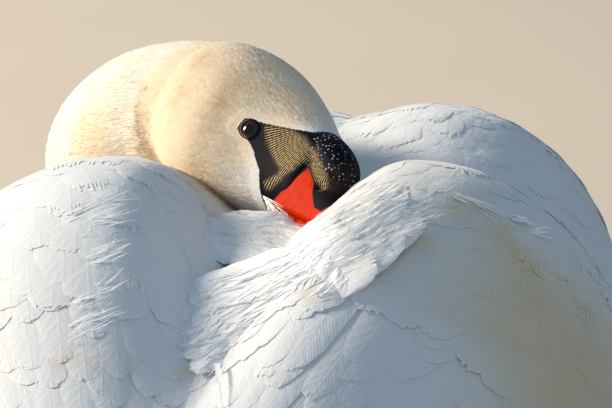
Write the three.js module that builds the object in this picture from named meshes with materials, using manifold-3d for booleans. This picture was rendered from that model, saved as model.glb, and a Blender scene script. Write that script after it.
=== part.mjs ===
// A life-size mute swan at rest: it sits on its belly with the feet tucked under, its neck laid back over the
// left shoulder and its bill pushed under the shoulder feathers of the right wing.
// Millimetres, +Z up. The swan faces -Y, its left side is +X and the floor is z = 0.
import * as THREE from 'three';
import { mergeVertices } from 'three/addons/utils/BufferGeometryUtils.js';
import Module from 'manifold-3d';

const wasm = await Module();
wasm.setup();

// ---------------------------------------------------------------- driving dimensions
const GAP = 0.3;             // clearance between neighbouring pieces
const MERGE = 1e-3;          // corners closer than this are one
// A loft has steps rings, closes over the shares capIn and capOut of its length, and crowds its rings towards
// the ends by its easing. Around is the number of points in a ring.
const FLOOR_CUT = 600;       // size of the block that cuts the belly flat

// Trunk stations: y, half width, top z, bottom z.
const TRUNK_STATIONS = [
  [-342, 40, 148, 64],
  [-318, 64, 178, 32],
  [-270, 90, 208, 6],
  [-215, 108, 230, -5],
  [-160, 120, 240, -7],
  [-92, 136, 242, -7],
  [-12, 146, 232, -7],
  [68, 145, 226, -7],
  [143, 126, 203, -3],
  [203, 98, 179, 14],
  [253, 68, 160, 44],
  [290, 46, 148, 82],
];
const ELLIPSE = 2;           // the power of a superellipse that is an ellipse
const TRUNK_WAIST = 0.47;    // height of the widest line, as a share of each section
const TRUNK_POWER = 2.3;     // 2 is an ellipse, more is squarer
const TRUNK_TIP = 16;         // how far the rounded end reaches past the last station
const TRUNK_LOFT = { steps: 15, capIn: 0.05, capOut: 0.07 };
const TRUNK_AROUND = 20;

// Folded wing stations: y, then x and z of the inner edge, crest, widest line and lower edge, and the power of
// the curve from the crest to the widest line. The front hump is the wrist, the rear one the shoulder feathers.
const WING_STATIONS = [
  [-270, 44, 184, 56, 197, 94, 156, 86, 112, 1.8],
  [-235, 12, 216, 32, 231, 107, 156, 96, 90, 1.8],
  [-195, 0.5, 238, 36, 247, 122, 155, 108, 80, 2.0],
  [-150, 0.5, 247, 44, 256, 135, 152, 120, 72, 2.05],
  [-105, 0.5, 241, 50, 249, 152, 148, 131, 68, 1.75],
  [-62, 0.5, 230, 58, 242, 165, 145, 140, 68, 1.6],
  [-25, 0.5, 222, 64, 257, 173, 143, 146, 70, 1.75],
  [10, 0.5, 224, 68, 268, 176, 140, 147, 73, 2.0],
  [45, 0.5, 227, 68, 268, 175, 140, 143, 77, 2.0],
  [85, 0.5, 223, 63, 259, 168, 141, 135, 84, 2.0],
  [130, 0.5, 214, 56, 239, 151, 143, 122, 95, 2.0],
  [175, 0.5, 198, 49, 214, 129, 146, 106, 110, 2.0],
  [220, 0.5, 183, 42, 191, 104, 150, 86, 126, 2.0],
  [260, 3, 170, 36, 174, 76, 153, 64, 139, 2.0],
  [300, 9, 162, 26, 163, 46, 155, 40, 150, 2.0],
];
const WING_DEPTH = [[-270, 20], [-100, 24], [120, 22], [220, 12], [300, 5]];  // y, depth of the inner side
const WING_LOFT = { steps: 17, capIn: 0.09, capOut: 0.05, easing: 0.3 };
const WING_OUTER = 12;       // points along the outer side of a section
const WING_INNER = 2;        // points along its inner side
const MIDLINE = 0.5;         // the two wings stay this far from the middle line
const LEFT_DROP = 5;         // the left crest is this much lower, pressed down by the neck
// Plumage groups seen from above: y and x of their outer edges, and how far each one's rear end slants back.
const SHOULDER = { edge: [[-290, 44], [-228, 70], [-175, 84], [-134, 88], [-104, 76], [-84, 54], [-62, 34]],
  start: -290, end: -62, skew: -20 };
const SCAPULARS = { edge: [[-195, 80], [-95, 104], [0, 118], [80, 108], [180, 84]],
  start: -150, end: 118, skew: 36 };
const TERTIALS = { edge: [[60, 112], [180, 84], [300, 50]], start: 80, end: 330, skew: 36 };
const GROUPS = { shoulder: SHOULDER, scapulars: SCAPULARS, tertials: TERTIALS };
const GROUP_PRISM = { steps: 8, inner: -20, bottom: 120, high: 260 };  // inner is the x of its inner side

// Head frame: origin midway between the eyes, F towards the bill, U up through the crown, S to the head's right.
const HEAD_ORIGIN = new THREE.Vector3(0.7, -25, 263.7);
const BILL_TURN = THREE.MathUtils.degToRad(40.7);  // the bill points this far to the right of straight back
const BILL_DIP = THREE.MathUtils.degToRad(0.7);    // and this far down
const HEAD_ROLL = THREE.MathUtils.degToRad(28);    // the crown leans over to the swan's right
const HEAD_STATIONS = [      // f, half width, top, bottom
  [-84, 30, 31, -30],
  [-66, 33, 35, -34],
  [-46, 34.5, 36, -38],
  [-28, 33, 34, -39],
  [-12, 28, 30.5, -38],
  [2, 22.6, 26.5, -36],
  [14, 19, 22.5, -34],
  [26, 16.5, 17, -32],
  [38, 15, 11, -30],
  [48, 13.5, 6, -28],
];
const HEAD_REACH = 140;      // more than the head and bill are wide, to slice them right through
const NAPE_F = -70;          // where the head ends and the neck begins
// The bare face: f and u of its border with the feathers, from crown to chin, and of its border with the bill.
const FEATHER_LINE = [[36, 60], [34.5, 13], [32.5, 9.8], [25.6, 8.2], [14.6, 6], [-3, 3.6], [-4, -3], [4, -5.5],
  [10.6, -10], [17.5, -16.5], [19.5, -23.5], [21.5, -29], [24, -60]];
const BILL_LINE = [[58, 60], [54, 6], [45, -5], [33, -28], [31, -60]];
const BILL_STATIONS = [      // f, half width, culmen, cutting edge
  [28, 13.6, 9, -31],
  [42, 13.9, 6, -30.5],
  [56, 14.2, 0, -30],
  [70, 14.8, -7, -29.5],
  [84, 16, -13.5, -29.5],
  [98, 16.6, -19, -30.5],
  [112, 15, -23, -31],
  [120, 10.5, -26, -32],
];
const JAW_STATIONS = [       // f, half width, top, bottom
  [26, 11, -27, -36],
  [54, 11.6, -27.6, -37],
  [74, 13, -28.6, -37],
  [96, 14, -30.4, -37.2],
  [112, 12, -32.2, -36.8],
];
// Waist and power shape a section, as the trunk's do.
const SKULL_LOFT = { around: 16, steps: 12, waist: 0.44, power: 2.15, capIn: 0.16, capOut: 0.08 };
const BILL_LOFT = { around: 12, steps: 9, waist: 0.14, power: 2.3, capIn: 0.03, capOut: 0.12 };
const JAW_LOFT = { around: 10, steps: 6, waist: 0.7, power: 2.4, capIn: 0.03, capOut: 0.12 };
const KNOB = { f: 44, u: 1.5, radiusF: 23, radiusU: 9.4, radiusS: 10.5, dip: 18 };  // dips towards the bill, degrees
const EYE = { f: 0.4, u: 0.2, s: 16.4, radius: 7.2 };
const NOSTRIL = { f: 62, u: -11, s: 12.4, long: 5.5, high: 2.2, deep: 2.5 };

// Neck: centreline points from the nape to the breast, and the plumage radius at each.
const NECK_ROUTE = [
  [36, -67, 264, 33],
  [53, -84, 262.5, 34],
  [77, -104, 254, 35],
  [97, -134, 237, 36],
  [109, -175, 216, 38],
  [106, -228, 196, 42],
  [84, -280, 168, 47],
  [48, -316, 134, 52],
  [10, -318, 104, 54],
  [0, -262, 98, 52],
];
const NECK_CUTS = [0.29, 0.59];   // shares of the neck's length where it is parted
const NECK_AROUND = 14;
const NECK_END = 0.004;      // share of the neck's length over which its ends are rounded
const NECK_STEPS = 26;

const TAIL_STATIONS = [      // y, half width, top z, bottom z
  [263, 44, 152, 116],
  [298, 62, 148, 124],
  [348, 68, 145, 130],
  [393, 54, 143, 134],
  [420, 32, 142, 136.5],
];
const TAIL_TIP = 14;         // how far the rounded tip reaches past the last station
const TAIL_DROOP = 0.12;     // the outer tail feathers slope down by this much for each unit outwards
const TAIL_POWER = 2.2;
const TAIL_AROUND = 14;
const TAIL_LOFT = { steps: 10, capIn: 0.05, capOut: 0.3 };
const PRIMARY_STATIONS = [   // y, x and z of the folded wing tip, its half width and half thickness
  [140, 112, 122, 22, 7],
  [210, 92, 134, 24, 7.5],
  [290, 60, 149, 22, 6.5],
  [355, 34, 159, 15, 4.5],
  [400, 20, 164, 6, 2.2],
];
const PRIMARY_LEAN = [62, 20];  // degrees that the wing tip's flat side leans, at its root and at its end
const PRIMARY_AROUND = 10;
const PRIMARY_LOFT = { steps: 10, capIn: 0.1, capOut: 0.12 };

// The shank swells at its joint ends, by shares of its radius.
const LEG = { heel: [92, 136, 15], joint: [104, 36, 12], radius: 8.5, thick: 11, ends: 0.35, knuckle: 0.1,
  around: 10 };
const LEG_LOFT = { steps: 8, capIn: 0.1, capOut: 0.08 };
const TOES = {               // direction seen from above, in degrees from straight ahead, and sizes
  inner: { turn: -16, length: 92, radius: 6.2, tip: 3.6 },
  middle: { turn: 12, length: 124, radius: 6.2, tip: 3.6 },
  outer: { turn: 34, length: 116, radius: 6.2, tip: 3.6 },
};
const HIND_TOE = { turn: 200, length: 26, radius: 4, tip: 2.8 };
const TOE = { around: 6, joints: 3, swelling: 0.1, height: 0.8 };  // height of its axis, as a share of its radius
const TOE_LOFT = { steps: 5, capIn: 0.08, capOut: 0.08, easing: 0.8 };
const WEB = { thickness: 3, reach: 0.9, bay: 0.78, heel: 4 };
const CLAW = { length: 15, radius: 3.3, root: 2, around: 5, taper: 0.8, width: 0.8, end: 1 };
const CLAW_LOFT = { steps: 3, capIn: 0.02, capOut: 0.2, easing: 0 };

const COLOURS = {
  white: { color: 0xf3f1ec, roughness: 0.8, metalness: 0 },
  cream: { color: 0xeadfc8, roughness: 0.85, metalness: 0 },
  orange: { color: 0xe2571d, roughness: 0.45, metalness: 0 },
  black: { color: 0x17130f, roughness: 0.45, metalness: 0 },
  eye: { color: 0x1d120c, roughness: 0.08, metalness: 0 },
  web: { color: 0x2b2a2b, roughness: 0.6, metalness: 0 },
};
const MATERIAL = Object.fromEntries(
  Object.entries(COLOURS).map(([name, look]) => [name, new THREE.MeshStandardMaterial(look)]));

// ---------------------------------------------------------------- curves
// A smooth function through rows of [position, value, value, ...], which returns the values at a position.
function through(rows) {
  const slope = (i, k) => {
    const before = rows[Math.max(i - 1, 0)];
    const after = rows[Math.min(i + 1, rows.length - 1)];
    return (after[k] - before[k]) / (after[0] - before[0]);
  };
  return (position) => {
    const at = THREE.MathUtils.clamp(position, rows[0][0], rows.at(-1)[0]);
    let i = rows.findIndex((row) => row[0] > at) - 1;
    if (i < 0) i = rows.length - 2;
    const [low, high] = [rows[i], rows[i + 1]];
    const span = high[0] - low[0];
    const s = (at - low[0]) / span;
    const [s2, s3] = [s * s, s * s * s];
    return low.slice(1).map((value, k) =>
      (2 * s3 - 3 * s2 + 1) * value + (s3 - 2 * s2 + s) * span * slope(i, k + 1)
      + (3 * s2 - 2 * s3) * high[k + 1] + (s3 - s2) * span * slope(i + 1, k + 1));
  };
}

const signedPower = (value, power) => Math.sign(value) * Math.abs(value) ** power;
const mix = THREE.MathUtils.lerp;

// ---------------------------------------------------------------- solids
function solidOf(geometry) {
  const bare = geometry.clone();
  for (const name of Object.keys(bare.attributes)) if (name !== 'position') bare.deleteAttribute(name);
  const merged = mergeVertices(bare, MERGE);
  const solid = new wasm.Manifold(new wasm.Mesh({
    numProp: 3,
    vertProperties: new Float32Array(merged.attributes.position.array),
    triVerts: new Uint32Array(merged.index.array),
  }));
  return solid;
}

// The geometry of a solid, without the flat or back-to-back triangles that a grazing cut can leave.
function geometryOf(solid) {
  const mesh = solid.getMesh();
  const geometry = new THREE.BufferGeometry();
  geometry.setAttribute('position', new THREE.BufferAttribute(new Float32Array(mesh.vertProperties), 3));
  geometry.setIndex(new THREE.BufferAttribute(new Uint32Array(mesh.triVerts), 1));
  const merged = mergeVertices(geometry, MERGE);
  const corners = Array.from(merged.index.array);
  const triangles = Array.from({ length: corners.length / 3 }, (_, i) => corners.slice(3 * i, 3 * i + 3));
  const keyOf = (triangle) => [...triangle].sort((a, b) => a - b).join();
  const seen = new Map();
  for (const triangle of triangles) seen.set(keyOf(triangle), (seen.get(keyOf(triangle)) ?? 0) + 1);
  const whole = (triangle) => new Set(triangle).size === 3 && seen.get(keyOf(triangle)) === 1;
  merged.setIndex(triangles.filter(whole).flat());
  return merged;
}

// A closed surface over rings of points. ringAt(t) gives the points of the ring at t from 0 to 1. The ends are
// rounded off: over the share capIn or capOut of the length a ring shrinks to its own centre like an ellipse.
function loft(ringAt, { steps, capIn = 0.06, capOut = 0.06, easing = 0.65 }) {
  const rings = [];
  for (let i = 0; i <= steps; i++) {
    const even = i / steps;
    const t = mix(even, (1 - Math.cos(Math.PI * even)) / 2, easing);
    const points = ringAt(t);
    const centre = points.reduce((sum, p) => sum.add(p), new THREE.Vector3()).divideScalar(points.length);
    const inward = Math.max(0, 1 - t / capIn, 1 - (1 - t) / capOut);
    const share = Math.sqrt(Math.max(0, 1 - inward * inward));
    rings.push({ centre, points: points.map((p) => p.clone().sub(centre).multiplyScalar(share).add(centre)) });
  }
  const around = rings[0].points.length;
  const positions = [...rings[0].centre.toArray()];
  for (const ring of rings.slice(1, -1)) for (const p of ring.points) positions.push(...p.toArray());
  positions.push(...rings.at(-1).centre.toArray());
  const last = positions.length / 3 - 1;
  const index = [];
  const at = (ring, k) => 1 + ring * around + (k % around);
  for (let k = 0; k < around; k++) {
    index.push(0, at(0, k + 1), at(0, k));
    for (let ring = 0; ring < rings.length - 3; ring++) {
      index.push(at(ring, k), at(ring, k + 1), at(ring + 1, k));
      index.push(at(ring, k + 1), at(ring + 1, k + 1), at(ring + 1, k));
    }
    index.push(last, at(rings.length - 3, k), at(rings.length - 3, k + 1));
  }
  return facingOut(positions, index);
}

function facingOut(positions, index) {
  let volume = 0;
  const corner = (i) => new THREE.Vector3().fromArray(positions, 3 * i);
  for (let i = 0; i < index.length; i += 3) {
    volume += corner(index[i]).dot(corner(index[i + 1]).cross(corner(index[i + 2])));
  }
  if (volume < 0) index.reverse();
  const geometry = new THREE.BufferGeometry();
  geometry.setAttribute('position', new THREE.Float32BufferAttribute(positions, 3));
  geometry.setIndex(index);
  return geometry;
}

// A superellipse ring: half width, and the heights of its top and bottom about its widest line.
function roundRing(around, width, top, bottom, waist, power, place) {
  const points = [];
  for (let k = 0; k < around; k++) {
    const a = (2 * Math.PI * k) / around;
    const across = width * signedPower(Math.sin(a), 2 / power);
    const rise = signedPower(Math.cos(a), 2 / power);
    const height = waist + rise * (rise > 0 ? top - waist : waist - bottom);
    points.push(place(across, height));
  }
  return points;
}

function block(low, high) {
  const size = new THREE.Vector3().subVectors(high, low);
  const geometry = new THREE.BoxGeometry(size.x, size.y, size.z);
  geometry.translate(...low.clone().add(high).multiplyScalar(0.5).toArray());
  return solidOf(geometry);
}

// ---------------------------------------------------------------- trunk
function trunkSolid(grow = 0) {
  const section = through(TRUNK_STATIONS);
  const [start, end] = [TRUNK_STATIONS[0][0] - grow, TRUNK_STATIONS.at(-1)[0] + TRUNK_TIP + grow];
  const ringAt = (t) => {
    const y = mix(start, end, t);
    const [width, top, bottom] = section(y);
    const waist = mix(bottom, top, TRUNK_WAIST);
    return roundRing(TRUNK_AROUND, width + grow, top + grow, bottom - grow, waist, TRUNK_POWER,
      (x, z) => new THREE.Vector3(x, y, z));
  };
  return solidOf(loft(ringAt, TRUNK_LOFT));
}

// ---------------------------------------------------------------- wings
const INNER_SHARE = 0.26;    // share of the outer line that runs from the inner edge up to the crest
const LOWER_SHARE = 0.78;    // share at which it reaches the widest line
const INNER_EASE = 1.35;     // power of the sine that carries it up to the crest

// The outer line of a wing's section, from v = 0 at the inner edge over the crest to v = 1 at the lower edge.
function wingLine([innerX, innerZ, crestX, crestZ, wideX, wideZ, lowX, lowZ, power], v) {
  if (v < INNER_SHARE) {
    const t = v / INNER_SHARE;
    return [mix(innerX, crestX, t), mix(innerZ, crestZ, Math.sin((t * Math.PI) / 2) ** INNER_EASE)];
  }
  if (v < LOWER_SHARE) {
    const a = ((v - INNER_SHARE) / (LOWER_SHARE - INNER_SHARE)) * Math.PI / 2;
    return [mix(crestX, wideX, Math.sin(a) ** (2 / power)), mix(wideZ, crestZ, Math.cos(a) ** (2 / power))];
  }
  const a = ((v - LOWER_SHARE) / (1 - LOWER_SHARE)) * Math.PI / 2;
  return [mix(lowX, wideX, Math.cos(a)), mix(wideZ, lowZ, Math.sin(a))];
}

// The folded wing as a thick shell: its inner side is a straight line from edge to edge, sunk into the trunk.
function wingSolid(drop) {
  const section = through(WING_STATIONS);
  const depth = through(WING_DEPTH);
  const [start, end] = [WING_STATIONS[0][0], WING_STATIONS.at(-1)[0]];
  const ringAt = (t) => {
    const y = mix(start, end, t);
    const values = section(y);
    values[3] -= drop * Math.sin(Math.PI * t);
    const [sunk] = depth(y);
    const outer = Array.from({ length: WING_OUTER }, (_, k) => wingLine(values, k / (WING_OUTER - 1)));
    const [first, last] = [outer[0], outer.at(-1)];
    const inner = Array.from({ length: WING_INNER }, (_, k) => {
      const share = (k + 1) / (WING_INNER + 1);
      return [mix(last[0], first[0], share) - sunk, mix(last[1], first[1], share) - sunk];
    });
    return [...outer, ...inner].map(([x, z]) => new THREE.Vector3(Math.max(x, values[0], MIDLINE), y, z));
  };
  return solidOf(loft(ringAt, WING_LOFT));
}

// A prism over one plumage group, from the middle line out to the group's outer edge.
function groupPrism({ edge, start, end, skew }, grow = 0) {
  const outline = through(edge);
  const shape = new THREE.Shape();
  const { steps, inner, bottom, high } = GROUP_PRISM;
  shape.moveTo(inner, start - grow);
  for (let i = 0; i <= steps; i++) {
    const y = mix(start - grow, end + grow, i / steps);
    shape.lineTo(outline(y)[0] + grow, y + (skew * i) / steps);
  }
  shape.lineTo(inner, end + grow);
  const geometry = new THREE.ExtrudeGeometry(shape, { depth: high, bevelEnabled: false });
  geometry.translate(0, 0, bottom);
  return solidOf(geometry);
}

// ---------------------------------------------------------------- head and neck
const axisF = new THREE.Vector3(-Math.sin(BILL_TURN), Math.cos(BILL_TURN), -Math.tan(BILL_DIP)).normalize();
const levelS = new THREE.Vector3().crossVectors(axisF, new THREE.Vector3(0, 0, 1)).normalize();
const levelU = new THREE.Vector3().crossVectors(levelS, axisF);
const axisU = levelU.clone().multiplyScalar(Math.cos(HEAD_ROLL)).addScaledVector(levelS, -Math.sin(HEAD_ROLL));
const axisS = new THREE.Vector3().crossVectors(axisF, axisU);
const headPoint = (f, u, s) => HEAD_ORIGIN.clone()
  .addScaledVector(axisF, f).addScaledVector(axisU, u).addScaledVector(axisS, s);

function headLoft(stations, { around, waist, power, ...ends }, grow) {
  const section = through(stations);
  const [start, end] = [stations[0][0] - grow, stations.at(-1)[0] + grow];
  const ringAt = (t) => {
    const f = mix(start, end, t);
    const [width, top, bottom] = section(f);
    const middle = mix(bottom, top, waist);
    return roundRing(around, width + grow, top + grow, bottom - grow, middle, power, (s, u) => headPoint(f, u, s));
  };
  return solidOf(loft(ringAt, ends));
}

function headEllipsoid(f, u, s, radiusF, radiusU, radiusS, detail, dip = 0) {
  const geometry = new THREE.SphereGeometry(1, 2 * detail, detail);
  const radii = [[axisF, radiusF], [axisU, radiusU], [axisS, radiusS]];
  const angle = -THREE.MathUtils.degToRad(dip);
  const turned = radii.map(([axis, radius]) => axis.clone().applyAxisAngle(axisS, angle).multiplyScalar(radius));
  const frame = new THREE.Matrix4().makeBasis(...turned);
  geometry.applyMatrix4(frame);
  geometry.translate(...headPoint(f, u, s).toArray());
  return solidOf(geometry);
}

const skullSolid = (grow = 0) => headLoft(HEAD_STATIONS, SKULL_LOFT, grow);
const billSolid = (grow = 0) => headLoft(BILL_STATIONS, BILL_LOFT, grow);
const jawSolid = (grow = 0) => headLoft(JAW_STATIONS, JAW_LOFT, grow);
const knobSolid = (grow = 0) => headEllipsoid(KNOB.f, KNOB.u, 0,
  KNOB.radiusF + grow, KNOB.radiusU + grow, KNOB.radiusS + grow, 6, KNOB.dip);
const eyeSolid = (side, grow = 0) => headEllipsoid(EYE.f, EYE.u, side * EYE.s,
  EYE.radius + grow, EYE.radius + grow, EYE.radius + grow, 5);

// A slice of the head between two lines of f and u, such as the bare face between the feathers and the bill.
function headSlice(rearLine, frontLine, grow = 0) {
  const rear = rearLine.map(([f, u]) => new THREE.Vector2(f - grow, u));
  const front = frontLine.map(([f, u]) => new THREE.Vector2(f + grow, u));
  const geometry = new THREE.ExtrudeGeometry(new THREE.Shape([...rear, ...front.reverse()]),
    { depth: HEAD_REACH, bevelEnabled: false });
  geometry.translate(0, 0, -HEAD_REACH / 2);
  geometry.applyMatrix4(new THREE.Matrix4().makeBasis(axisF, axisU, axisS));
  geometry.translate(...HEAD_ORIGIN.toArray());
  return solidOf(geometry);
}

const neckCurve = new THREE.CatmullRomCurve3(NECK_ROUTE.map(([x, y, z]) => new THREE.Vector3(x, y, z)),
  false, 'centripetal');
const neckRadius = through(NECK_ROUTE.map((row, i) => [i / (NECK_ROUTE.length - 1), row[3]]));

// The whole neck as one tube, whose sections turn with it as little as they can.
function neckSolid(grow = 0) {
  let side = new THREE.Vector3(0, 0, 1);
  const ringAt = (share) => {
    const centre = neckCurve.getPoint(share);
    const tangent = neckCurve.getTangent(share);
    side = side.clone().addScaledVector(tangent, -side.dot(tangent)).normalize();
    const other = new THREE.Vector3().crossVectors(tangent, side);
    const radius = neckRadius(share)[0] + grow;
    return roundRing(NECK_AROUND, radius, radius, -radius, 0, ELLIPSE,
      (x, z) => centre.clone().addScaledVector(other, x).addScaledVector(side, z));
  };
  return solidOf(loft(ringAt, { steps: NECK_STEPS, capIn: NECK_END, capOut: NECK_END, easing: 0 }));
}

// ---------------------------------------------------------------- tail and wing tips
function tailSolid() {
  const section = through(TAIL_STATIONS);
  const [start, end] = [TAIL_STATIONS[0][0], TAIL_STATIONS.at(-1)[0] + TAIL_TIP];
  const ringAt = (t) => {
    const y = mix(start, end, t);
    const [width, top, bottom] = section(y);
    return roundRing(TAIL_AROUND, width, top, bottom, (top + bottom) / 2, TAIL_POWER,
      (x, z) => new THREE.Vector3(x, y, z - TAIL_DROOP * Math.abs(x)));
  };
  return solidOf(loft(ringAt, TAIL_LOFT));
}

function primarySolid() {
  const section = through(PRIMARY_STATIONS);
  const [start, end] = [PRIMARY_STATIONS[0][0], PRIMARY_STATIONS.at(-1)[0]];
  const ringAt = (t) => {
    const y = mix(start, end, t);
    const [x, z, width, thick] = section(y);
    const lean = THREE.MathUtils.degToRad(mix(...PRIMARY_LEAN, t));
    return roundRing(PRIMARY_AROUND, width, thick, -thick, 0, ELLIPSE, (across, up) => new THREE.Vector3(
      x + across * Math.cos(lean) + up * Math.sin(lean), y,
      z - across * Math.sin(lean) + up * Math.cos(lean)));
  };
  return solidOf(loft(ringAt, PRIMARY_LOFT));
}

// ---------------------------------------------------------------- legs
const toeRoot = new THREE.Vector3(LEG.joint[0], LEG.joint[1], 0);
const aheadOf = (turn) => new THREE.Vector3(
  Math.sin(THREE.MathUtils.degToRad(turn)), -Math.cos(THREE.MathUtils.degToRad(turn)), 0);

// A toe lies on the floor: its underside is cut flat by the floor plane. The swellings are its joints.
function toeSolid({ turn, length, radius, tip }, grow = 0) {
  const ahead = aheadOf(turn);
  const across = new THREE.Vector3().crossVectors(ahead, new THREE.Vector3(0, 0, 1));
  const ringAt = (t) => {
    const swollen = mix(radius, tip, t) * (1 + TOE.swelling * Math.cos(2 * Math.PI * TOE.joints * t));
    const centre = toeRoot.clone().addScaledVector(ahead, mix(-grow, length + grow, t)).setZ(swollen * TOE.height);
    return roundRing(TOE.around, swollen + grow, swollen + grow, -swollen - grow, 0, ELLIPSE,
      (x, z) => centre.clone().addScaledVector(across, x).add(new THREE.Vector3(0, 0, z)));
  };
  return solidOf(loft(ringAt, TOE_LOFT));
}

function clawSolid({ turn, length, tip }) {
  const ahead = aheadOf(turn);
  const across = new THREE.Vector3().crossVectors(ahead, new THREE.Vector3(0, 0, 1));
  const ringAt = (t) => {
    const radius = CLAW.radius * (1 - CLAW.taper * t);
    const centre = toeRoot.clone().addScaledVector(ahead, length - CLAW.root + CLAW.length * t)
      .setZ(mix(tip, CLAW.end, t));
    return roundRing(CLAW.around, radius * CLAW.width, radius, -radius, 0, ELLIPSE,
      (x, z) => centre.clone().addScaledVector(across, x).add(new THREE.Vector3(0, 0, z)));
  };
  return solidOf(loft(ringAt, CLAW_LOFT));
}

function webSolid() {
  const shape = new THREE.Shape();
  const pointAt = (turn, length) => toeRoot.clone().addScaledVector(aheadOf(turn), length);
  const tip = ({ turn, length }) => pointAt(turn, length * WEB.reach);
  const bay = (one, other) => pointAt((one.turn + other.turn) / 2, ((one.length + other.length) / 2) * WEB.bay);
  const curve = (control, end) => shape.quadraticCurveTo(control.x, control.y, end.x, end.y);
  const { inner, middle, outer } = TOES;
  shape.moveTo(toeRoot.x, toeRoot.y + WEB.heel);
  shape.lineTo(tip(inner).x, tip(inner).y);
  curve(bay(inner, middle), tip(middle));
  curve(bay(middle, outer), tip(outer));
  shape.closePath();
  return solidOf(new THREE.ExtrudeGeometry(shape, { depth: WEB.thickness, bevelEnabled: false, curveSegments: 4 }));
}

function shankSolid(grow = 0) {
  const heel = new THREE.Vector3(...LEG.heel);
  const joint = new THREE.Vector3(...LEG.joint);
  const along = joint.clone().sub(heel).normalize();
  const across = new THREE.Vector3().crossVectors(along, new THREE.Vector3(0, 0, 1)).normalize();
  const up = new THREE.Vector3().crossVectors(across, along);
  const ringAt = (t) => {
    const swell = 1 + LEG.ends * (2 * t - 1) ** 6 + LEG.knuckle * (1 - t) ** 4;
    const centre = heel.clone().lerp(joint, t);
    const [wide, thick] = [LEG.radius * swell + grow, LEG.thick * swell + grow];
    return roundRing(LEG.around, wide, thick, -thick, 0, ELLIPSE,
      (x, z) => centre.clone().addScaledVector(across, x).addScaledVector(up, z));
  };
  return solidOf(loft(ringAt, LEG_LOFT));
}

// ---------------------------------------------------------------- assembly
const swan = new THREE.Group();

function add(name, solid, material) {
  const mesh = new THREE.Mesh(geometryOf(solid), MATERIAL[material]);
  mesh.name = name;
  swan.add(mesh);
}

const mirrored = (solid) => solid.mirror([1, 0, 0]);
const together = (solids) => solids.reduce((sum, solid) => sum.add(solid));
const underFloor = block(new THREE.Vector3(-FLOOR_CUT, -FLOOR_CUT, -FLOOR_CUT),
  new THREE.Vector3(FLOOR_CUT, FLOOR_CUT, 0));

// Head: the feathered skull, the bare face, the knob, the two halves of the bill and the eyes.
const facePart = headSlice(FEATHER_LINE, BILL_LINE);
const faceRoom = headSlice(FEATHER_LINE, BILL_LINE, GAP);
const frontRoom = headSlice(FEATHER_LINE, [[HEAD_REACH, 60], [HEAD_REACH, -60]], GAP);
const skull = skullSolid();
const eyes = { right: 1, left: -1 };
const eyeRoom = eyeSolid(1, GAP).add(eyeSolid(-1, GAP));
const knob = knobSolid();
const knobRoom = knobSolid(GAP);
const billRoom = billSolid(GAP);
const jawRoom = jawSolid(GAP);
const neckRoom = neckSolid(GAP);
const beyondNape = (grow) => [axisF.clone().negate().toArray(), -headPoint(NAPE_F, 0, 0).dot(axisF) + grow];
const flipped = ([normal, offset]) => [normal.map((c) => -c), -offset];
const bareHead = skull.trimByPlane(...flipped(beyondNape(0)));
const head = bareHead.subtract(frontRoom).subtract(knobRoom).subtract(eyeRoom);
const face = bareHead.intersect(facePart).subtract(knobRoom).subtract(eyeRoom);
const nostrils = headEllipsoid(NOSTRIL.f, NOSTRIL.u, NOSTRIL.s, NOSTRIL.long, NOSTRIL.high, NOSTRIL.deep, 3)
  .add(headEllipsoid(NOSTRIL.f, NOSTRIL.u, -NOSTRIL.s, NOSTRIL.long, NOSTRIL.high, NOSTRIL.deep, 3));
add('head', head, 'cream');
add('face', face, 'black');
add('knob', knob, 'black');
add('bill_upper', billSolid().subtract(faceRoom).subtract(knobRoom).subtract(nostrils), 'orange');
add('bill_lower', jawSolid().subtract(faceRoom).subtract(billRoom), 'orange');
for (const [side, sign] of Object.entries(eyes)) add(`eye_${side}`, eyeSolid(sign), 'eye');

// The whole head and neck, a little larger, which the plumage round them makes room for.
const headRoom = together([skullSolid(GAP), knobRoom, billRoom, jawRoom,
  eyeSolid(1, 2 * GAP), eyeSolid(-1, 2 * GAP)]);

// Neck: one tube, parted into three lengths, that ends in the breast.
const trunkWhole = trunkSolid().subtract(underFloor);
const cutAt = (share, grow) => {
  const tangent = neckCurve.getTangent(share);
  return [tangent.toArray(), neckCurve.getPoint(share).dot(tangent) + grow];
};
const neckWhole = neckSolid();
const skullRoom = skullSolid(GAP).trimByPlane(...flipped(beyondNape(GAP)));
const neckFree = neckWhole.trimByPlane(...beyondNape(GAP)).subtract(skullRoom);
const [cutHigh, cutLow] = NECK_CUTS;
const above = (share, grow) => flipped(cutAt(share, grow));
const neckUpper = neckFree.trimByPlane(...above(cutHigh, 0));
const neckMiddle = neckWhole.trimByPlane(...cutAt(cutHigh, GAP)).trimByPlane(...above(cutLow, 0));
const neckBase = neckWhole.trimByPlane(...cutAt(cutLow, GAP)).subtract(trunkSolid(GAP));
const overTrunk = neckRoom.trimByPlane(...above(cutLow, GAP));
add('neck_upper', neckUpper, 'cream');
add('neck_middle', neckMiddle, 'white');
add('neck_base', neckBase, 'white');

// Legs and feet lie flat beside the belly. A foot is its toes, webs and claws in one.
const shank = shankSolid();
const allToes = [...Object.values(TOES), HIND_TOE];
const webbed = together([webSolid(), ...allToes.map((toe) => toeSolid(toe))])
  .subtract(shankSolid(GAP)).add(together(Object.values(TOES).map(clawSolid))).subtract(underFloor);
const footRoom = together([shankSolid(GAP), ...allToes.map((toe) => toeSolid(toe, CLAW.radius))]);
const feet = { left: (solid) => solid, right: mirrored };
for (const [side, place] of Object.entries(feet)) {
  add(`leg_${side}`, place(shank.subtract(underFloor)), 'web');
  add(`foot_${side}`, place(webbed), 'web');
}

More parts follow.
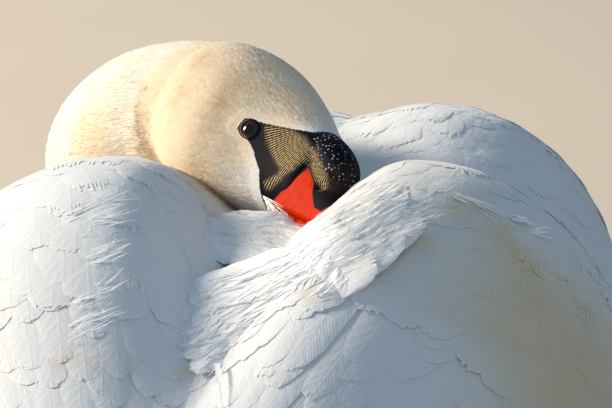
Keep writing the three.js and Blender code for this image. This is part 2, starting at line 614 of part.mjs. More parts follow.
// Wings: shoulder feathers over the back, the folded wing on the flank, the long inner feathers and the tips.
const trunkRoom = trunkSolid(GAP);
const tail = tailSolid();
const wings = { left: wingSolid(LEFT_DROP), right: wingSolid(0) };
const primary = primarySolid();
for (const [side, place] of Object.entries(feet)) {
  const clear = (solid) => place(solid).subtract(trunkRoom).subtract(headRoom).subtract(neckRoom);
  let rest = wings[side];
  for (const [name, group] of Object.entries(GROUPS)) {
    add(`${name}_${side}`, clear(rest.intersect(groupPrism(group))), 'white');
    rest = rest.subtract(groupPrism(group, GAP));
  }
  add(`wing_${side}`, clear(rest), 'white');
  add(`primaries_${side}`, place(primary.subtract(wings[side])).subtract(trunkRoom).subtract(tail), 'white');
}
add('tail', tail.subtract(trunkRoom), 'white');
const trunkRooms = [headRoom, overTrunk, footRoom, mirrored(footRoom)];
add('trunk', trunkRooms.reduce((rest, room) => rest.subtract(room), trunkWhole), 'white');

// The origin lies on the floor, under the middle of the bird.
const box = new THREE.Box3().setFromObject(swan, true);
swan.position.set(-(box.min.x + box.max.x) / 2, -(box.min.y + box.max.y) / 2, 0);

export default swan;
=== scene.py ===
"""A life-size mute swan at rest, its neck laid back and its bill pushed under the feathers of its shoulder.

Shapes are worked out in the plan frame: millimetres, +Z up, the swan faces -Y, its left side is +X and the
floor is z = 0. Plan turns plan points into the frame's metres. The skin is one piece under the coat. The
coat is made of vanes and tufts, laid along fine tables of points, one table for each part of the body.
"""
import logging
import math
from dataclasses import dataclass, field, replace
from enum import Enum, IntEnum
from typing import Callable, Sequence

import bpy
import numpy as np
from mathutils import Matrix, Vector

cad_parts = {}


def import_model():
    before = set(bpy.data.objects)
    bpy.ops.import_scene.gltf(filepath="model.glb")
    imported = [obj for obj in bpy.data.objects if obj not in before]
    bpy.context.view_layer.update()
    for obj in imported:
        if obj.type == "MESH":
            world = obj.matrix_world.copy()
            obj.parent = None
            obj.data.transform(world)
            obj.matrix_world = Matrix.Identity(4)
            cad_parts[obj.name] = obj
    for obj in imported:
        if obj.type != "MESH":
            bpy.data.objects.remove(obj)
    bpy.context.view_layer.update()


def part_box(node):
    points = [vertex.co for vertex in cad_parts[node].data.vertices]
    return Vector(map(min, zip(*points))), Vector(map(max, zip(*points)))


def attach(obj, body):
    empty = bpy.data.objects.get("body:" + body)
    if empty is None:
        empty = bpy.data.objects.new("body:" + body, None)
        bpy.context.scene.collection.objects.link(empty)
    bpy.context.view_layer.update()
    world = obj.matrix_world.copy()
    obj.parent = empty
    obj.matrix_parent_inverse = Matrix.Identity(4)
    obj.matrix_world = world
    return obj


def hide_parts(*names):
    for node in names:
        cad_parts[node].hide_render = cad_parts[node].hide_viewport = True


LOG = logging.getLogger("swan")
Array = np.ndarray
Number = float | Array
Rows = Sequence[Sequence[float]]
Triple = tuple[float, float, float]
Colour = tuple[float, float, float, float]
Rule = Callable[[Array, Array], Array]      # a size or a turn at the shares a and b of a surface
Field = Callable[[Array], Array]            # a value at plan points
UP = np.array([0.0, 0.0, 1.0])
MM = 0.001              # metres in a millimetre
TINY = 1e-9             # keeps a division from a zero
FAR = 1e9               # further than any distance here
BAKE_EDGE = 0.005       # free edge of the bake map, as a share of it
BAKE_PATCH = 0.0015     # half the width of a feather's patch in it

# ---------------------------------------------------------------- the plan, as the solids have it
TRUNK_ROWS = [  # y, half width, top z, bottom z
    [-342, 40, 148, 64], [-318, 64, 178, 32], [-270, 90, 208, 6], [-215, 108, 230, -5],
    [-160, 120, 240, -7], [-92, 136, 242, -7], [-12, 146, 232, -7], [68, 145, 226, -7],
    [143, 126, 203, -3], [203, 98, 179, 14], [253, 68, 160, 44], [290, 46, 148, 82],
]
WING_ROWS = [  # y, x and z of the inner edge, crest, widest line and lower edge, power of the shoulder curve
    [-270, 44, 184, 56, 197, 94, 156, 86, 112, 1.8],
    [-235, 12, 216, 32, 231, 107, 156, 96, 90, 1.8],
    [-195, 0.5, 238, 36, 247, 122, 155, 108, 80, 2.0],
    [-150, 0.5, 247, 44, 256, 135, 152, 120, 72, 2.05],
    [-105, 0.5, 241, 50, 249, 152, 148, 131, 68, 1.75],
    [-62, 0.5, 230, 58, 242, 165, 145, 140, 68, 1.6],
    [-25, 0.5, 222, 64, 257, 173, 143, 146, 70, 1.75],
    [10, 0.5, 224, 68, 268, 176, 140, 147, 73, 2.0],
    [45, 0.5, 227, 68, 268, 175, 140, 143, 77, 2.0],
    [85, 0.5, 223, 63, 259, 168, 141, 135, 84, 2.0],
    [130, 0.5, 214, 56, 239, 151, 143, 122, 95, 2.0],
    [175, 0.5, 198, 49, 214, 129, 146, 106, 110, 2.0],
    [220, 0.5, 183, 42, 191, 104, 150, 86, 126, 2.0],
    [260, 3, 170, 36, 174, 76, 153, 64, 139, 2.0],
    [300, 9, 162, 26, 163, 46, 155, 40, 150, 2.0],
]
HEAD_ROWS = [  # f, half width, top, bottom
    [-84, 30, 31, -30], [-66, 33, 35, -34], [-46, 34.5, 36, -38], [-28, 33, 34, -39],
    [-12, 28, 30.5, -38], [2, 22.6, 26.5, -36], [14, 19, 22.5, -34], [26, 16.5, 17, -32],
    [38, 15, 11, -30], [48, 13.5, 6, -28],
]
BILL_ROWS = [  # f, half width, culmen, cutting edge
    [28, 13.6, 9, -31], [42, 13.9, 6, -30.5], [56, 14.2, 0, -30], [70, 14.8, -7, -29.5],
    [84, 16, -13.5, -29.5], [98, 16.6, -19, -30.5], [112, 15, -23, -31], [120, 10.5, -26, -32],
]
JAW_ROWS = [  # f, half width, top, bottom
    [26, 11, -27, -36], [54, 11.6, -27.6, -37], [74, 13, -28.6, -37], [96, 14, -30.4, -37.2],
    [112, 12, -32.2, -36.8],
]
NECK_ROUTE = [  # x, y, z and radius from the nape to the breast
    [36, -67, 264, 33], [53, -84, 262.5, 34], [77, -104, 254, 35], [97, -134, 237, 36],
    [109, -175, 216, 38], [106, -228, 196, 42], [84, -280, 168, 47], [48, -316, 134, 52],
    [10, -318, 104, 54], [0, -262, 98, 52],
]
TAIL_ROWS = [  # y, half width, top z, bottom z
    [263, 44, 152, 116], [298, 62, 148, 124], [348, 68, 145, 130], [393, 54, 143, 134],
    [420, 32, 142, 136.5],
]
TIP_ROWS = [  # y, x and z of the folded wing tip, its half width and half thickness
    [140, 112, 122, 22, 7], [210, 92, 134, 24, 7.5], [290, 60, 149, 22, 6.5], [355, 34, 159, 15, 4.5],
    [400, 20, 164, 6, 2.2],
]
FEATHER_LINE = [  # f and u of the border between the head feathers and the bare face, from crown to chin
    [36, 60], [34.5, 13], [32.5, 9.8], [25.6, 8.2], [14.6, 6], [-3, 3.6], [-4, -3], [4, -5.5],
    [10.6, -10], [17.5, -16.5], [19.5, -23.5], [21.5, -29], [24, -60],
]
BILL_LINE = [[58, 60], [54, 6], [45, -5], [33, -28], [31, -60]]  # border of the bare face and the bill
RIDGE_HIGHLIGHT_PATCH = [  # f and u round the ridges of the lore, which get a painted warm highlight
    [9, 3.5], [15.5, 5], [23, 6.5], [30, 6], [37, 4], [45.5, 1], [51.5, -3], [58.5, -6], [63, -9], [64, -13],
    [57, -10], [50, -7], [45, -4], [41, -4.5], [38.5, -10], [35.5, -12.5], [32.5, -17], [27.5, -21.5],
    [23.5, -22.5], [22.5, -20], [29.5, -15], [31.5, -12], [26, -9.5], [20.5, -6.5], [15, -3], [10.5, 1.5],
]
ORANGE_PATCH = [  # f and u round the orange of the bill, between the black base, nostril and nail
    [45.5, -6], [49, -8], [55.5, -11], [60.5, -16], [68.5, -21.5], [76, -22], [82, -15], [87, 2], [111, 2],
    [112, -60], [20, -60], [33.5, -25.5], [36.5, -20.5],
]
LID_RINGS = [  # share of the skirt and of the height, from the lids' outer edge in to the eyeball
    [1.0, -0.9], [0.8, -0.25], [0.6, 0.1], [0.45, 0.35], [0.3, 0.6], [0.18, 0.82], [0.08, 0.95], [0.0, 1.0],
    [-0.05, 0.9], [-0.1, 0.45], [-0.13, -0.3], [-0.14, -1.6],
]
TOES = [  # degrees from straight ahead, length, radius at the root and at the tip
    [-16, 92, 6.2, 3.6], [12, 124, 6.2, 3.6], [34, 116, 6.2, 3.6], [200, 26, 4, 2.8],
]
PLUME_GRID = [  # rows of plan points through the ruffled plume, from its upper lobe down to its lower lobe
    [[-57.9, 58, 264], [-68.9, 66.1, 264.4], [-79.4, 71.9, 261.6]],
    [[-39.4, 84.4, 257.8], [-56.4, 103.2, 256.3], [-71.1, 111.5, 252.4]],
    [[-26.2, 97, 247.4], [-42.8, 120.3, 245.1], [-58.9, 132.7, 240.3]],
    [[-10.5, 106.1, 236.6], [-25.3, 127.3, 230.9], [-38.9, 143.5, 225.9]],
    [[8.8, 111.4, 227.1], [-6, 135, 220.1], [-18, 150, 212.4]],
    [[14.8, 131.3, 219.2], [6.2, 145.7, 212.6], [-4.2, 161.7, 206.4]],
]
MANTLE_GRID = [  # rows of plan points over the hollow behind the bill, from the swan's right to its left
    [[-29.7, 38.9, 246.1], [-33.1, 59.5, 244.4], [-35.3, 82.7, 242.3]],
    [[-20.2, 37.8, 241.2], [-21.9, 54.8, 239.1], [-24, 82.1, 237]],
    [[-10.3, 35.1, 243.9], [-8.7, 45, 239], [-9.5, 70.6, 236.5]],
    [[-1, 35, 243.9], [2.4, 41, 239.5], [3.7, 61.1, 235.5]],
    [[10.1, 31.2, 243.4], [13.1, 38.8, 240.3], [15.2, 54.9, 236.4]],
    [[20.7, 33.7, 242.1], [22.9, 40.9, 240.3], [24.2, 56.6, 237.3]],
]
MOUTH_LINE = [[28, -33], [70, -29.6], [120, -32]]   # f and u of the line between the halves of the bill
NOSTRIL = (62.0, -11.0, 4.6, 1.7, 2.2)              # its f and u, half length, half height and depth
LOOSE_QUILL = [[[-9.2, 167.8, 207.1]], [[-13.4, 182.0, 204.4]], [[-19.3, 201.9, 196.1]]]  # root, bend, tip
WISPS = [  # root and run of loose barbs on the wings, their number, spread, rise and half width
    [72, 84, 254.6, -14, -11, 2.5, 16, 7, 2.0, 0.45], [62, 92, 252.2, -12, -5, 0, 12, 6, 2.0, 0.40],
    [55, 119, 240.4, -10, -8, 3, 12, 7, 1.8, 0.40], [58, 144, 227.2, -12, -10, 5, 12, 7, 1.8, 0.45],
    [57, 162, 217.4, -12, -11, 6, 12, 7, 1.8, 0.45], [53, 129, 235.4, -30, -17, -5, 3, 0.8, 0.3, 0.80],
    [-96, 55, 262.6, -17, 4, -8.5, 14, 3.5, 2.6, 0.60], [-119, 48, 252.4, -8, 2, -4, 12, 4, 2.6, 0.70],
    [-128, 46, 246.4, -6, -6, -2, 6, 3, 2.4, 0.60],
]


class Side(Enum):
    """The two sides of the swan, as the sign of x."""

    LEFT = 1
    RIGHT = -1


class Part(Enum):
    """The parts of the body that feathers grow on."""

    TRUNK = "trunk"
    NECK = "neck"
    HEAD = "head"
    WING = "wing"
    REAR = "tail and wing tips"


class Seed(IntEnum):
    """Where each piece's random numbers start; the side is added to that of a pair."""

    HEAD = 11
    NECK = 12
    TRUNK = 13
    WING = 20
    WING_TIP = 30
    TAIL = 33
    MANTLE = 41
    CHIN = 42


# ---------------------------------------------------------------- numbers and curves
def mix(a: Number, b: Number, share: Number) -> Number:
    """The value at a share of the way from a to b."""
    return a + (b - a) * share


def smooth(low: float, high: float, value: Array) -> Array:
    """A soft step from 0 at low to 1 at high: 3s^2 - 2s^3 of the share s between them."""
    s = np.clip((value - low) / (high - low), 0, 1)
    return s * s * (3 - 2 * s)


def signed_power(value: Array, power: float) -> Array:
    """The size of a value raised to a power, with the value's own sign."""
    return np.sign(value) * np.abs(value) ** power


def circle(count: int) -> Array:
    """Even angles round a ring, its start not repeated."""
    return np.linspace(0, 2 * math.pi, count, endpoint=False)


def unit(vectors: Array) -> Array:
    """Vectors scaled to length 1."""
    return vectors / np.maximum(np.linalg.norm(vectors, axis=-1, keepdims=True), TINY)


def through(rows: Rows, at: Array) -> Array:
    """A smooth curve through rows of [position, value, ...].

    It is made of cubic Hermite pieces whose slope at a row is the slope between its two neighbours.

    Args:
        rows: Positions in rising order, each followed by its values.
        at: Positions to read, of any shape.

    Returns:
        The values, with one more axis than at.
    """
    table = np.asarray(rows, float)
    x, v = table[:, 0], table[:, 1:]
    count = len(x)
    before, after = np.maximum(np.arange(count) - 1, 0), np.minimum(np.arange(count) + 1, count - 1)
    slope = (v[after] - v[before]) / (x[after] - x[before])[:, None]
    where = np.clip(np.asarray(at, float), x[0], x[-1])
    i = np.clip(np.searchsorted(x, where, side="right") - 1, 0, count - 2)
    span = (x[i + 1] - x[i])[..., None]
    s = (where - x[i])[..., None] / span
    s2, s3 = s * s, s * s * s
    return ((2 * s3 - 3 * s2 + 1) * v[i] + (s3 - 2 * s2 + s) * span * slope[i]
            + (3 * s2 - 2 * s3) * v[i + 1] + (s3 - s2) * span * slope[i + 1])


def to_line(start: Array, step: Array, f: Array, u: Array) -> Array:
    """Distance in f and u to the nearest of some straight pieces.

    Args:
        start: Where each piece starts.
        step: The way from its start to its end.
        f, u: Head coordinates, of one shape.

    Returns:
        The distances.
    """
    spot = np.stack([f, u], -1)[..., None, :]
    share = np.clip(((spot - start) * step).sum(-1) / (step ** 2).sum(-1), 0, 1)
    return np.linalg.norm(spot - start - share[..., None] * step, axis=-1).min(-1)


def line_distance(line: Rows, f: Array, u: Array) -> Array:
    """Signed distance in f and u to a bent line whose u falls from row to row.

    Args:
        line: Points of the line.
        f, u: Head coordinates, of one shape.

    Returns:
        The distances, positive beyond the line towards +f.
    """
    points = np.asarray(line, float)
    near = to_line(points[:-1], np.diff(points, axis=0), f, u)
    edge = np.interp(-u, -points[:, 1], points[:, 0])
    return np.where(f > edge, near, -near)


def inside_distance(outline: Rows, f: Array, u: Array) -> Array:
    """Signed distance in f and u to a closed outline.

    A point is inside where a line from it towards +f crosses the outline an odd number of times.

    Args:
        outline: Corners of the outline.
        f, u: Head coordinates, of one shape.

    Returns:
        The distances, positive inside.
    """
    start = np.asarray(outline, float)
    end = np.roll(start, -1, axis=0)
    step = end - start
    near = to_line(start, step, f, u)
    spans = (start[:, 1] > u[..., None]) != (end[:, 1] > u[..., None])
    rise = np.where(np.abs(step[:, 1]) < TINY, TINY, step[:, 1])
    crossing = start[:, 0] + step[:, 0] * (u[..., None] - start[:, 1]) / rise
    inside = (spans & (f[..., None] < crossing)).sum(-1) % 2 == 1
    return np.where(inside, near, -near)


def ring(angle: Array, width: Number, top: Number, bottom: Number, waist: float,
         power: float) -> tuple[Array, Array]:
    """A superellipse section.

    Across it is width sin^(2/p), and its height is the waist's height + cos^(2/p) times the reach up or down
    from it.

    Args:
        angle: Angles round the section, 0 at the top.
        width, top, bottom: Half width and heights, which spread over the angles.
        waist: Height of the widest line as a share of the section.
        power: The p of the formula; 2 is an ellipse, more is squarer.

    Returns:
        Offsets across and heights.
    """
    middle = mix(bottom, top, waist)
    rise = signed_power(np.cos(angle), 2 / power)
    return (width * signed_power(np.sin(angle), 2 / power),
            middle + rise * np.where(rise > 0, top - middle, middle - bottom))


def halves(top: Number, bottom: Number, waist: float, height: Array) -> tuple[Array, Array]:
    """The height of a section's widest line, and the section's reach from it on the side of a height."""
    middle = mix(bottom, top, waist)
    return middle, np.where(height > middle, top - middle, middle - bottom)


def in_section(across: Array, height: Array, sizes: Array, waist: float, power: float,
               margin: float) -> Array:
    """Whether places lie inside superellipse sections.

    Args:
        across, height: The places.
        sizes: Half width, top and bottom of the section of each.
        waist: Height of the widest line as a share of the section.
        power: The superellipse's power.
        margin: How deep inside the places have to be, in millimetres.

    Returns:
        A mask.
    """
    width, top, bottom = np.moveaxis(sizes, -1, 0)
    middle, reach = halves(top, bottom, waist, height)
    return (np.abs(across / (width - margin)) ** power
            + np.abs((height - middle) / (reach - margin)) ** power) < 1


# ---------------------------------------------------------------- frames
@dataclass(frozen=True)
class Plan:
    """Where the plan frame lies in the loaded frame, in millimetres."""

    shift: Triple

    def place(self, points: Array) -> Array:
        """Plan points in the frame's metres."""
        return (points + np.array(self.shift)) * MM


@dataclass(frozen=True)
class HeadFrame:
    """The head's own axes: f towards the bill, u up through the crown, s to the head's right."""

    origin: Triple = (0.7, -25.0, 263.7)
    turn: float = math.radians(40.7)
    dip: float = math.radians(0.7)
    roll: float = math.radians(28.0)

    def axes(self) -> Array:
        """The three axes as rows f, u, s."""
        f = unit(np.array([-math.sin(self.turn), math.cos(self.turn), -math.tan(self.dip)]))
        level_s = unit(np.cross(f, UP))
        level_u = np.cross(level_s, f)
        u = level_u * math.cos(self.roll) - level_s * math.sin(self.roll)
        return np.stack([f, u, np.cross(f, u)])

    def point(self, f: Array, u: Array, s: Array) -> Array:
        """Plan points of head coordinates."""
        return np.array(self.origin) + np.stack(np.broadcast_arrays(f, u, s), -1) @ self.axes()

    def coords(self, points: Array) -> Array:
        """Head coordinates f, u, s of plan points."""
        return (points - np.array(self.origin)) @ self.axes().T


HEAD = HeadFrame()


# ---------------------------------------------------------------- meshes
@dataclass
class Sheet:
    """A mesh before it is made: points in the plan frame, faces of 3 or 4 corners, values and maps."""

    points: Array
    faces: list[Array]
    values: dict[str, Array] = field(default_factory=dict)
    maps: dict[str, Array] = field(default_factory=dict)
    finish: int = 0

    def with_value(self, name: str, value: Number) -> "Sheet":
        """The sheet with one more value for each point."""
        self.values[name] = np.broadcast_to(np.asarray(value, float), (len(self.points),))
        return self


def grid_faces(rows: int, cols: int, wraps: bool = False) -> Array:
    """Quads of a grid of points in row order, closed round its columns when it wraps.

    Args:
        rows: Number of rows.
        cols: Number of points in a row.
        wraps: Whether the last column joins the first.

    Returns:
        Four point numbers for each face.
    """
    i, j = np.meshgrid(np.arange(rows - 1), np.arange(cols if wraps else cols - 1), indexing="ij")
    k = (j + 1) % cols
    return np.stack([i * cols + j, i * cols + k, (i + 1) * cols + k, (i + 1) * cols + j], -1).reshape(-1, 4)


def closed_tube(rings: Array) -> Sheet:
    """A closed tube over rings of points, with a fan at each end whose pole is that end ring's centre.

    Args:
        rings: Points by ring and by place on the ring.

    Returns:
        The tube.
    """
    rows, cols = rings.shape[:2]
    points = np.concatenate([rings.reshape(-1, 3), rings[[0, -1]].mean(1)])
    j = np.arange(cols)
    k = (j + 1) % cols
    last = (rows - 1) * cols
    first_fan = np.stack([np.full(cols, rows * cols), k, j], -1)
    last_fan = np.stack([np.full(cols, rows * cols + 1), last + j, last + k], -1)
    return Sheet(points, [grid_faces(rows, cols, True), np.concatenate([first_fan, last_fan])])


def rounded(rings: Array, at: Array, cap_in: float, cap_out: float) -> Array:
    """Rings shrunk towards their own centres near the ends, as a quarter ellipse over the caps' shares.

    Args:
        rings: Points by ring and by place on the ring.
        at: Share of the length at which each ring stands.
        cap_in, cap_out: Shares of the length that the first and the last cap take up.

    Returns:
        The new rings.
    """
    inward = np.maximum(0, np.maximum(1 - at / cap_in, 1 - (1 - at) / cap_out))
    share = np.sqrt(np.maximum(0, 1 - inward ** 2))[:, None, None]
    centre = rings.mean(1, keepdims=True)
    return centre + (rings - centre) * share


def joined(sheets: Sequence[Sheet]) -> tuple[Sheet, Array]:
    """Sheets as one: triangles first, then quads.

    Args:
        sheets: The sheets.

    Returns:
        The whole sheet, and the finish number of each of its faces.
    """
    starts = np.cumsum([0] + [len(s.points) for s in sheets[:-1]])
    names = sorted({name for s in sheets for name in s.values})
    maps = sorted({name for s in sheets for name in s.maps})
    faces, finishes = [], []
    for corners in (3, 4):
        parts = [(f + start, s.finish) for s, start in zip(sheets, starts) for f in s.faces
                 if f.shape[1] == corners]
        if parts:
            faces.append(np.concatenate([f for f, _ in parts]))
            finishes.append(np.concatenate([np.full(len(f), number) for f, number in parts]))
    values = {n: np.concatenate([s.values.get(n, np.zeros(len(s.points))) for s in sheets]) for n in names}
    layers = {n: np.concatenate([s.maps.get(n, np.zeros((len(s.points), 2))) for s in sheets]) for n in maps}
    return Sheet(np.concatenate([s.points for s in sheets]), faces, values, layers), np.concatenate(finishes)


def make_object(name: str, sheets: Sequence[Sheet], plan: Plan,
                materials: Sequence[bpy.types.Material]) -> bpy.types.Object:
    """One smoothly shaded object at the origin from sheets in the plan frame.

    Args:
        name: The piece's name.
        sheets: Its sheets, each with the number of its finish among the materials.
        plan: Where the plan lies in the frame.
        materials: The piece's finishes.

    Returns:
        The new object, linked to the scene.
    """
    whole, finishes = joined(sheets)
    mesh = bpy.data.meshes.new(name)
    counts = np.concatenate([np.full(len(f), f.shape[1]) for f in whole.faces])
    corners = np.concatenate([f.ravel() for f in whole.faces])
    mesh.vertices.add(len(whole.points))
    mesh.vertices.foreach_set("co", plan.place(whole.points).astype(np.float32).ravel())
    mesh.loops.add(len(corners))
    mesh.loops.foreach_set("vertex_index", corners.astype(np.int32))
    mesh.polygons.add(len(counts))
    mesh.polygons.foreach_set("loop_start", (np.cumsum(counts) - counts).astype(np.int32))
    mesh.polygons.foreach_set("loop_total", counts.astype(np.int32))
    mesh.polygons.foreach_set("material_index", finishes.astype(np.int32))
    mesh.polygons.foreach_set("use_smooth", np.ones(len(counts), bool))
    for label, values in whole.values.items():
        layer = mesh.attributes.new(label, "FLOAT", "POINT")
        layer.data.foreach_set("value", values.astype(np.float32))
    for label, places in whole.maps.items():
        layer = mesh.uv_layers.new(name=label)
        layer.data.foreach_set("uv", places[corners].astype(np.float32).ravel())
    mesh.update(calc_edges=True)
    mesh.validate()
    for material in materials:
        mesh.materials.append(material)
    obj = bpy.data.objects.new(name, mesh)
    bpy.context.scene.collection.objects.link(obj)
    LOG.info("%s: %d points, %d triangles", name, len(whole.points), int((counts - 2).sum()))
    return obj


def remeshed(sheets: Sequence[Sheet], voxel: float, smoothing: int) -> Sheet:
    """The outer hull of overlapping closed sheets as one even mesh.

    Args:
        sheets: Closed sheets that overlap.
        voxel: Size of the even mesh's faces, in millimetres.
        smoothing: How often the mesh is smoothed afterwards.

    Returns:
        The new closed sheet, in the plan frame.
    """
    temporary = make_object("hull", sheets, Plan((0, 0, 0)), [])
    remesh = temporary.modifiers.new("even", "REMESH")
    remesh.mode = "VOXEL"
    remesh.voxel_size = voxel * MM
    soft = temporary.modifiers.new("soft", "SMOOTH")
    soft.iterations = smoothing
    soft.factor = 0.5
    result = temporary.evaluated_get(bpy.context.evaluated_depsgraph_get()).to_mesh()
    points = np.empty(len(result.vertices) * 3)
    result.vertices.foreach_get("co", points)
    corners = np.empty(len(result.loops), np.int32)
    result.loops.foreach_get("vertex_index", corners)
    totals = np.empty(len(result.polygons), np.int32)
    result.polygons.foreach_get("loop_total", totals)
    starts = np.cumsum(totals) - totals
    faces = [corners[starts[totals == n][:, None] + np.arange(n)] for n in (3, 4) if (totals == n).any()]
    mesh = temporary.data
    bpy.data.objects.remove(temporary)
    bpy.data.meshes.remove(mesh)
    return Sheet(points.reshape(-1, 3) * 1000, faces)


def normals_of(sheet: Sheet) -> Array:
    """Point normals: the sum of the normals of the faces round each point.

    Args:
        sheet: The sheet.

    Returns:
        A unit vector for each point.
    """
    total = np.zeros_like(sheet.points)
    for faces in sheet.faces:
        a, b, c = (sheet.points[faces[:, k]] for k in (0, 1, 2))
        flat = np.cross(b - a, c - a)
        for k in range(faces.shape[1]):
            np.add.at(total, faces[:, k], flat)
    return unit(total)


# ---------------------------------------------------------------- surfaces that the coat lies along
class Patch:
    """A surface held as a fine table of points, read at shares a along it and b across it.

    A place between table points is the even mix of the four round it. Beyond the edges of a surface that
    doesn't wrap it goes straight on.
    """

    def __init__(self, points: Array, wraps: bool, upward: bool = False) -> None:
        """Takes the table and works out its slopes and normals.

        Args:
            points: Rows along and columns across; a table that wraps has no repeated last column.
            wraps: Whether the columns close into a ring.
            upward: Whether the normals point up; otherwise they point away from the middle of their row.
        """
        self.wraps = wraps
        table = np.concatenate([points, points[:, :1]], 1) if wraps else points
        self.rows, self.cols = table.shape[:2]
        along = np.gradient(table, axis=0) * (self.rows - 1)
        if wraps:
            turned = (np.roll(points, -1, 1) - np.roll(points, 1, 1)) / 2
            across = np.concatenate([turned, turned[:, :1]], 1) * (self.cols - 1)
        else:
            across = np.gradient(table, axis=1) * (self.cols - 1)
        normal = unit(np.cross(along, across))
        away = UP if upward else table - table.mean(1, keepdims=True)
        outward = (normal * away).sum()
        self.table = np.concatenate([table, along, across, normal if outward > 0 else -normal], -1)

    def read(self, a: Array, b: Array) -> tuple[Array, Array, Array, Array]:
        """The surface at shares of it.

        Args:
            a, b: Shares along and across, of one shape.

        Returns:
            Points, slopes along, slopes across and unit normals.
        """
        inside_a = np.clip(a, 0, 1)
        inside_b = np.mod(b, 1) if self.wraps else np.clip(b, 0, 1)
        x, y = inside_a * (self.rows - 1), inside_b * (self.cols - 1)
        i, j = np.minimum(x.astype(int), self.rows - 2), np.minimum(y.astype(int), self.cols - 2)
        s, t = (x - i)[..., None], (y - j)[..., None]
        row = self.table[i, j] * (1 - t) + self.table[i, j + 1] * t
        below = self.table[i + 1, j] * (1 - t) + self.table[i + 1, j + 1] * t
        value = row * (1 - s) + below * s
        point, along, across, normal = (value[..., k:k + 3] for k in (0, 3, 6, 9))
        if not self.wraps:
            point = point + (a - inside_a)[..., None] * along + (b - inside_b)[..., None] * across
        return point, along, across, unit(normal)

    def sunk(self, depth: float) -> Array:
        """The table's own points, moved in by a depth."""
        inner = self.table[..., :3] - self.table[..., 9:12] * depth
        return inner[:, :-1] if self.wraps else inner


def evened(table: Array, cols: int, wraps: bool) -> Array:
    """A table whose columns are evenly spaced by the length of each row's line.

    Args:
        table: Rows of points across the surface.
        cols: Columns of the new table.
        wraps: Whether a row closes on itself; its last column isn't repeated then.

    Returns:
        The new table.
    """
    closed = np.concatenate([table, table[:, :1]], 1) if wraps else table
    step = np.linalg.norm(np.diff(closed, axis=1), axis=-1)
    length = np.concatenate([np.zeros((len(closed), 1)), np.cumsum(step, 1)], 1)
    share = np.linspace(0, 1, cols + 1)[:-1] if wraps else np.linspace(0, 1, cols)
    rows = [np.stack([np.interp(share * line[-1], line, row[:, k]) for k in range(3)], -1)
            for line, row in zip(length, closed)]
    return np.stack(rows)


def tube_patch(rings: Array) -> Patch:
    """The surface round some rings of points, with its columns evened out."""
    return Patch(evened(rings, rings.shape[1], True), True)


def spread_grid(grid: Sequence[Rows], rows: int, cols: int) -> Array:
    """A fine table of points through a coarse grid of them, smooth both ways.

    Args:
        grid: Rows of points.
        rows, cols: Size of the fine table.

    Returns:
        The table.
    """
    points = np.asarray(grid, float)
    count, width = points.shape[:2]
    lines = np.concatenate([np.arange(count)[:, None], points.reshape(count, -1)], 1)
    long = through(lines, np.linspace(0, count - 1, rows)).reshape(rows, width, 3)
    lines = np.concatenate([np.arange(width)[:, None], long.transpose(1, 0, 2).reshape(width, -1)], 1)
    return through(lines, np.linspace(0, width - 1, cols)).reshape(cols, rows, 3).transpose(1, 0, 2)


@dataclass(frozen=True)
class Trunk:
    """The trunk: superellipse sections along y, flat underneath."""

    tip: float = 16.0           # how far it runs on past its last row
    waist: float = 0.47         # height of the widest line as a share of the section
    power: float = 2.3
    caps: tuple[float, float] = (0.05, 0.07)
    table: tuple[int, int] = (420, 240)

    def rings(self, rows: int, around: int, inset: float) -> Array:
        """Sections from breast to rump with rounded ends.

        Args:
            rows: Number of sections.
            around: Points in each.
            inset: How far they are drawn in, in millimetres.

        Returns:
            Plan points by section.
        """
        at = np.linspace(0, 1, rows)
        y = mix(TRUNK_ROWS[0][0] + inset, TRUNK_ROWS[-1][0] + self.tip - inset, at)
        width, top, bottom = through(TRUNK_ROWS, y)[:, None, :].transpose(2, 0, 1)
        angle = circle(around)
        x, z = ring(angle, width - inset, top - inset, np.maximum(bottom, 0) + inset, self.waist, self.power)
        points = np.stack([x, np.broadcast_to(y[:, None], x.shape), z], -1)
        return rounded(points, at, *self.caps)

    def patch(self, inset: float) -> Patch:
        """The table that the trunk's feathers lie along, drawn in by an inset."""
        return tube_patch(self.rings(*self.table, inset))

    def holds(self, points: Array, margin: float) -> Array:
        """Whether points lie inside the trunk.

        Args:
            points: Plan points.
            margin: How deep inside they have to be, in millimetres.

        Returns:
            A mask.
        """
        x, y, z = np.moveaxis(points, -1, 0)
        inside = in_section(x, z, through(TRUNK_ROWS, y), self.waist, self.power, margin)
        return inside & (y > TRUNK_ROWS[0][0] + margin)


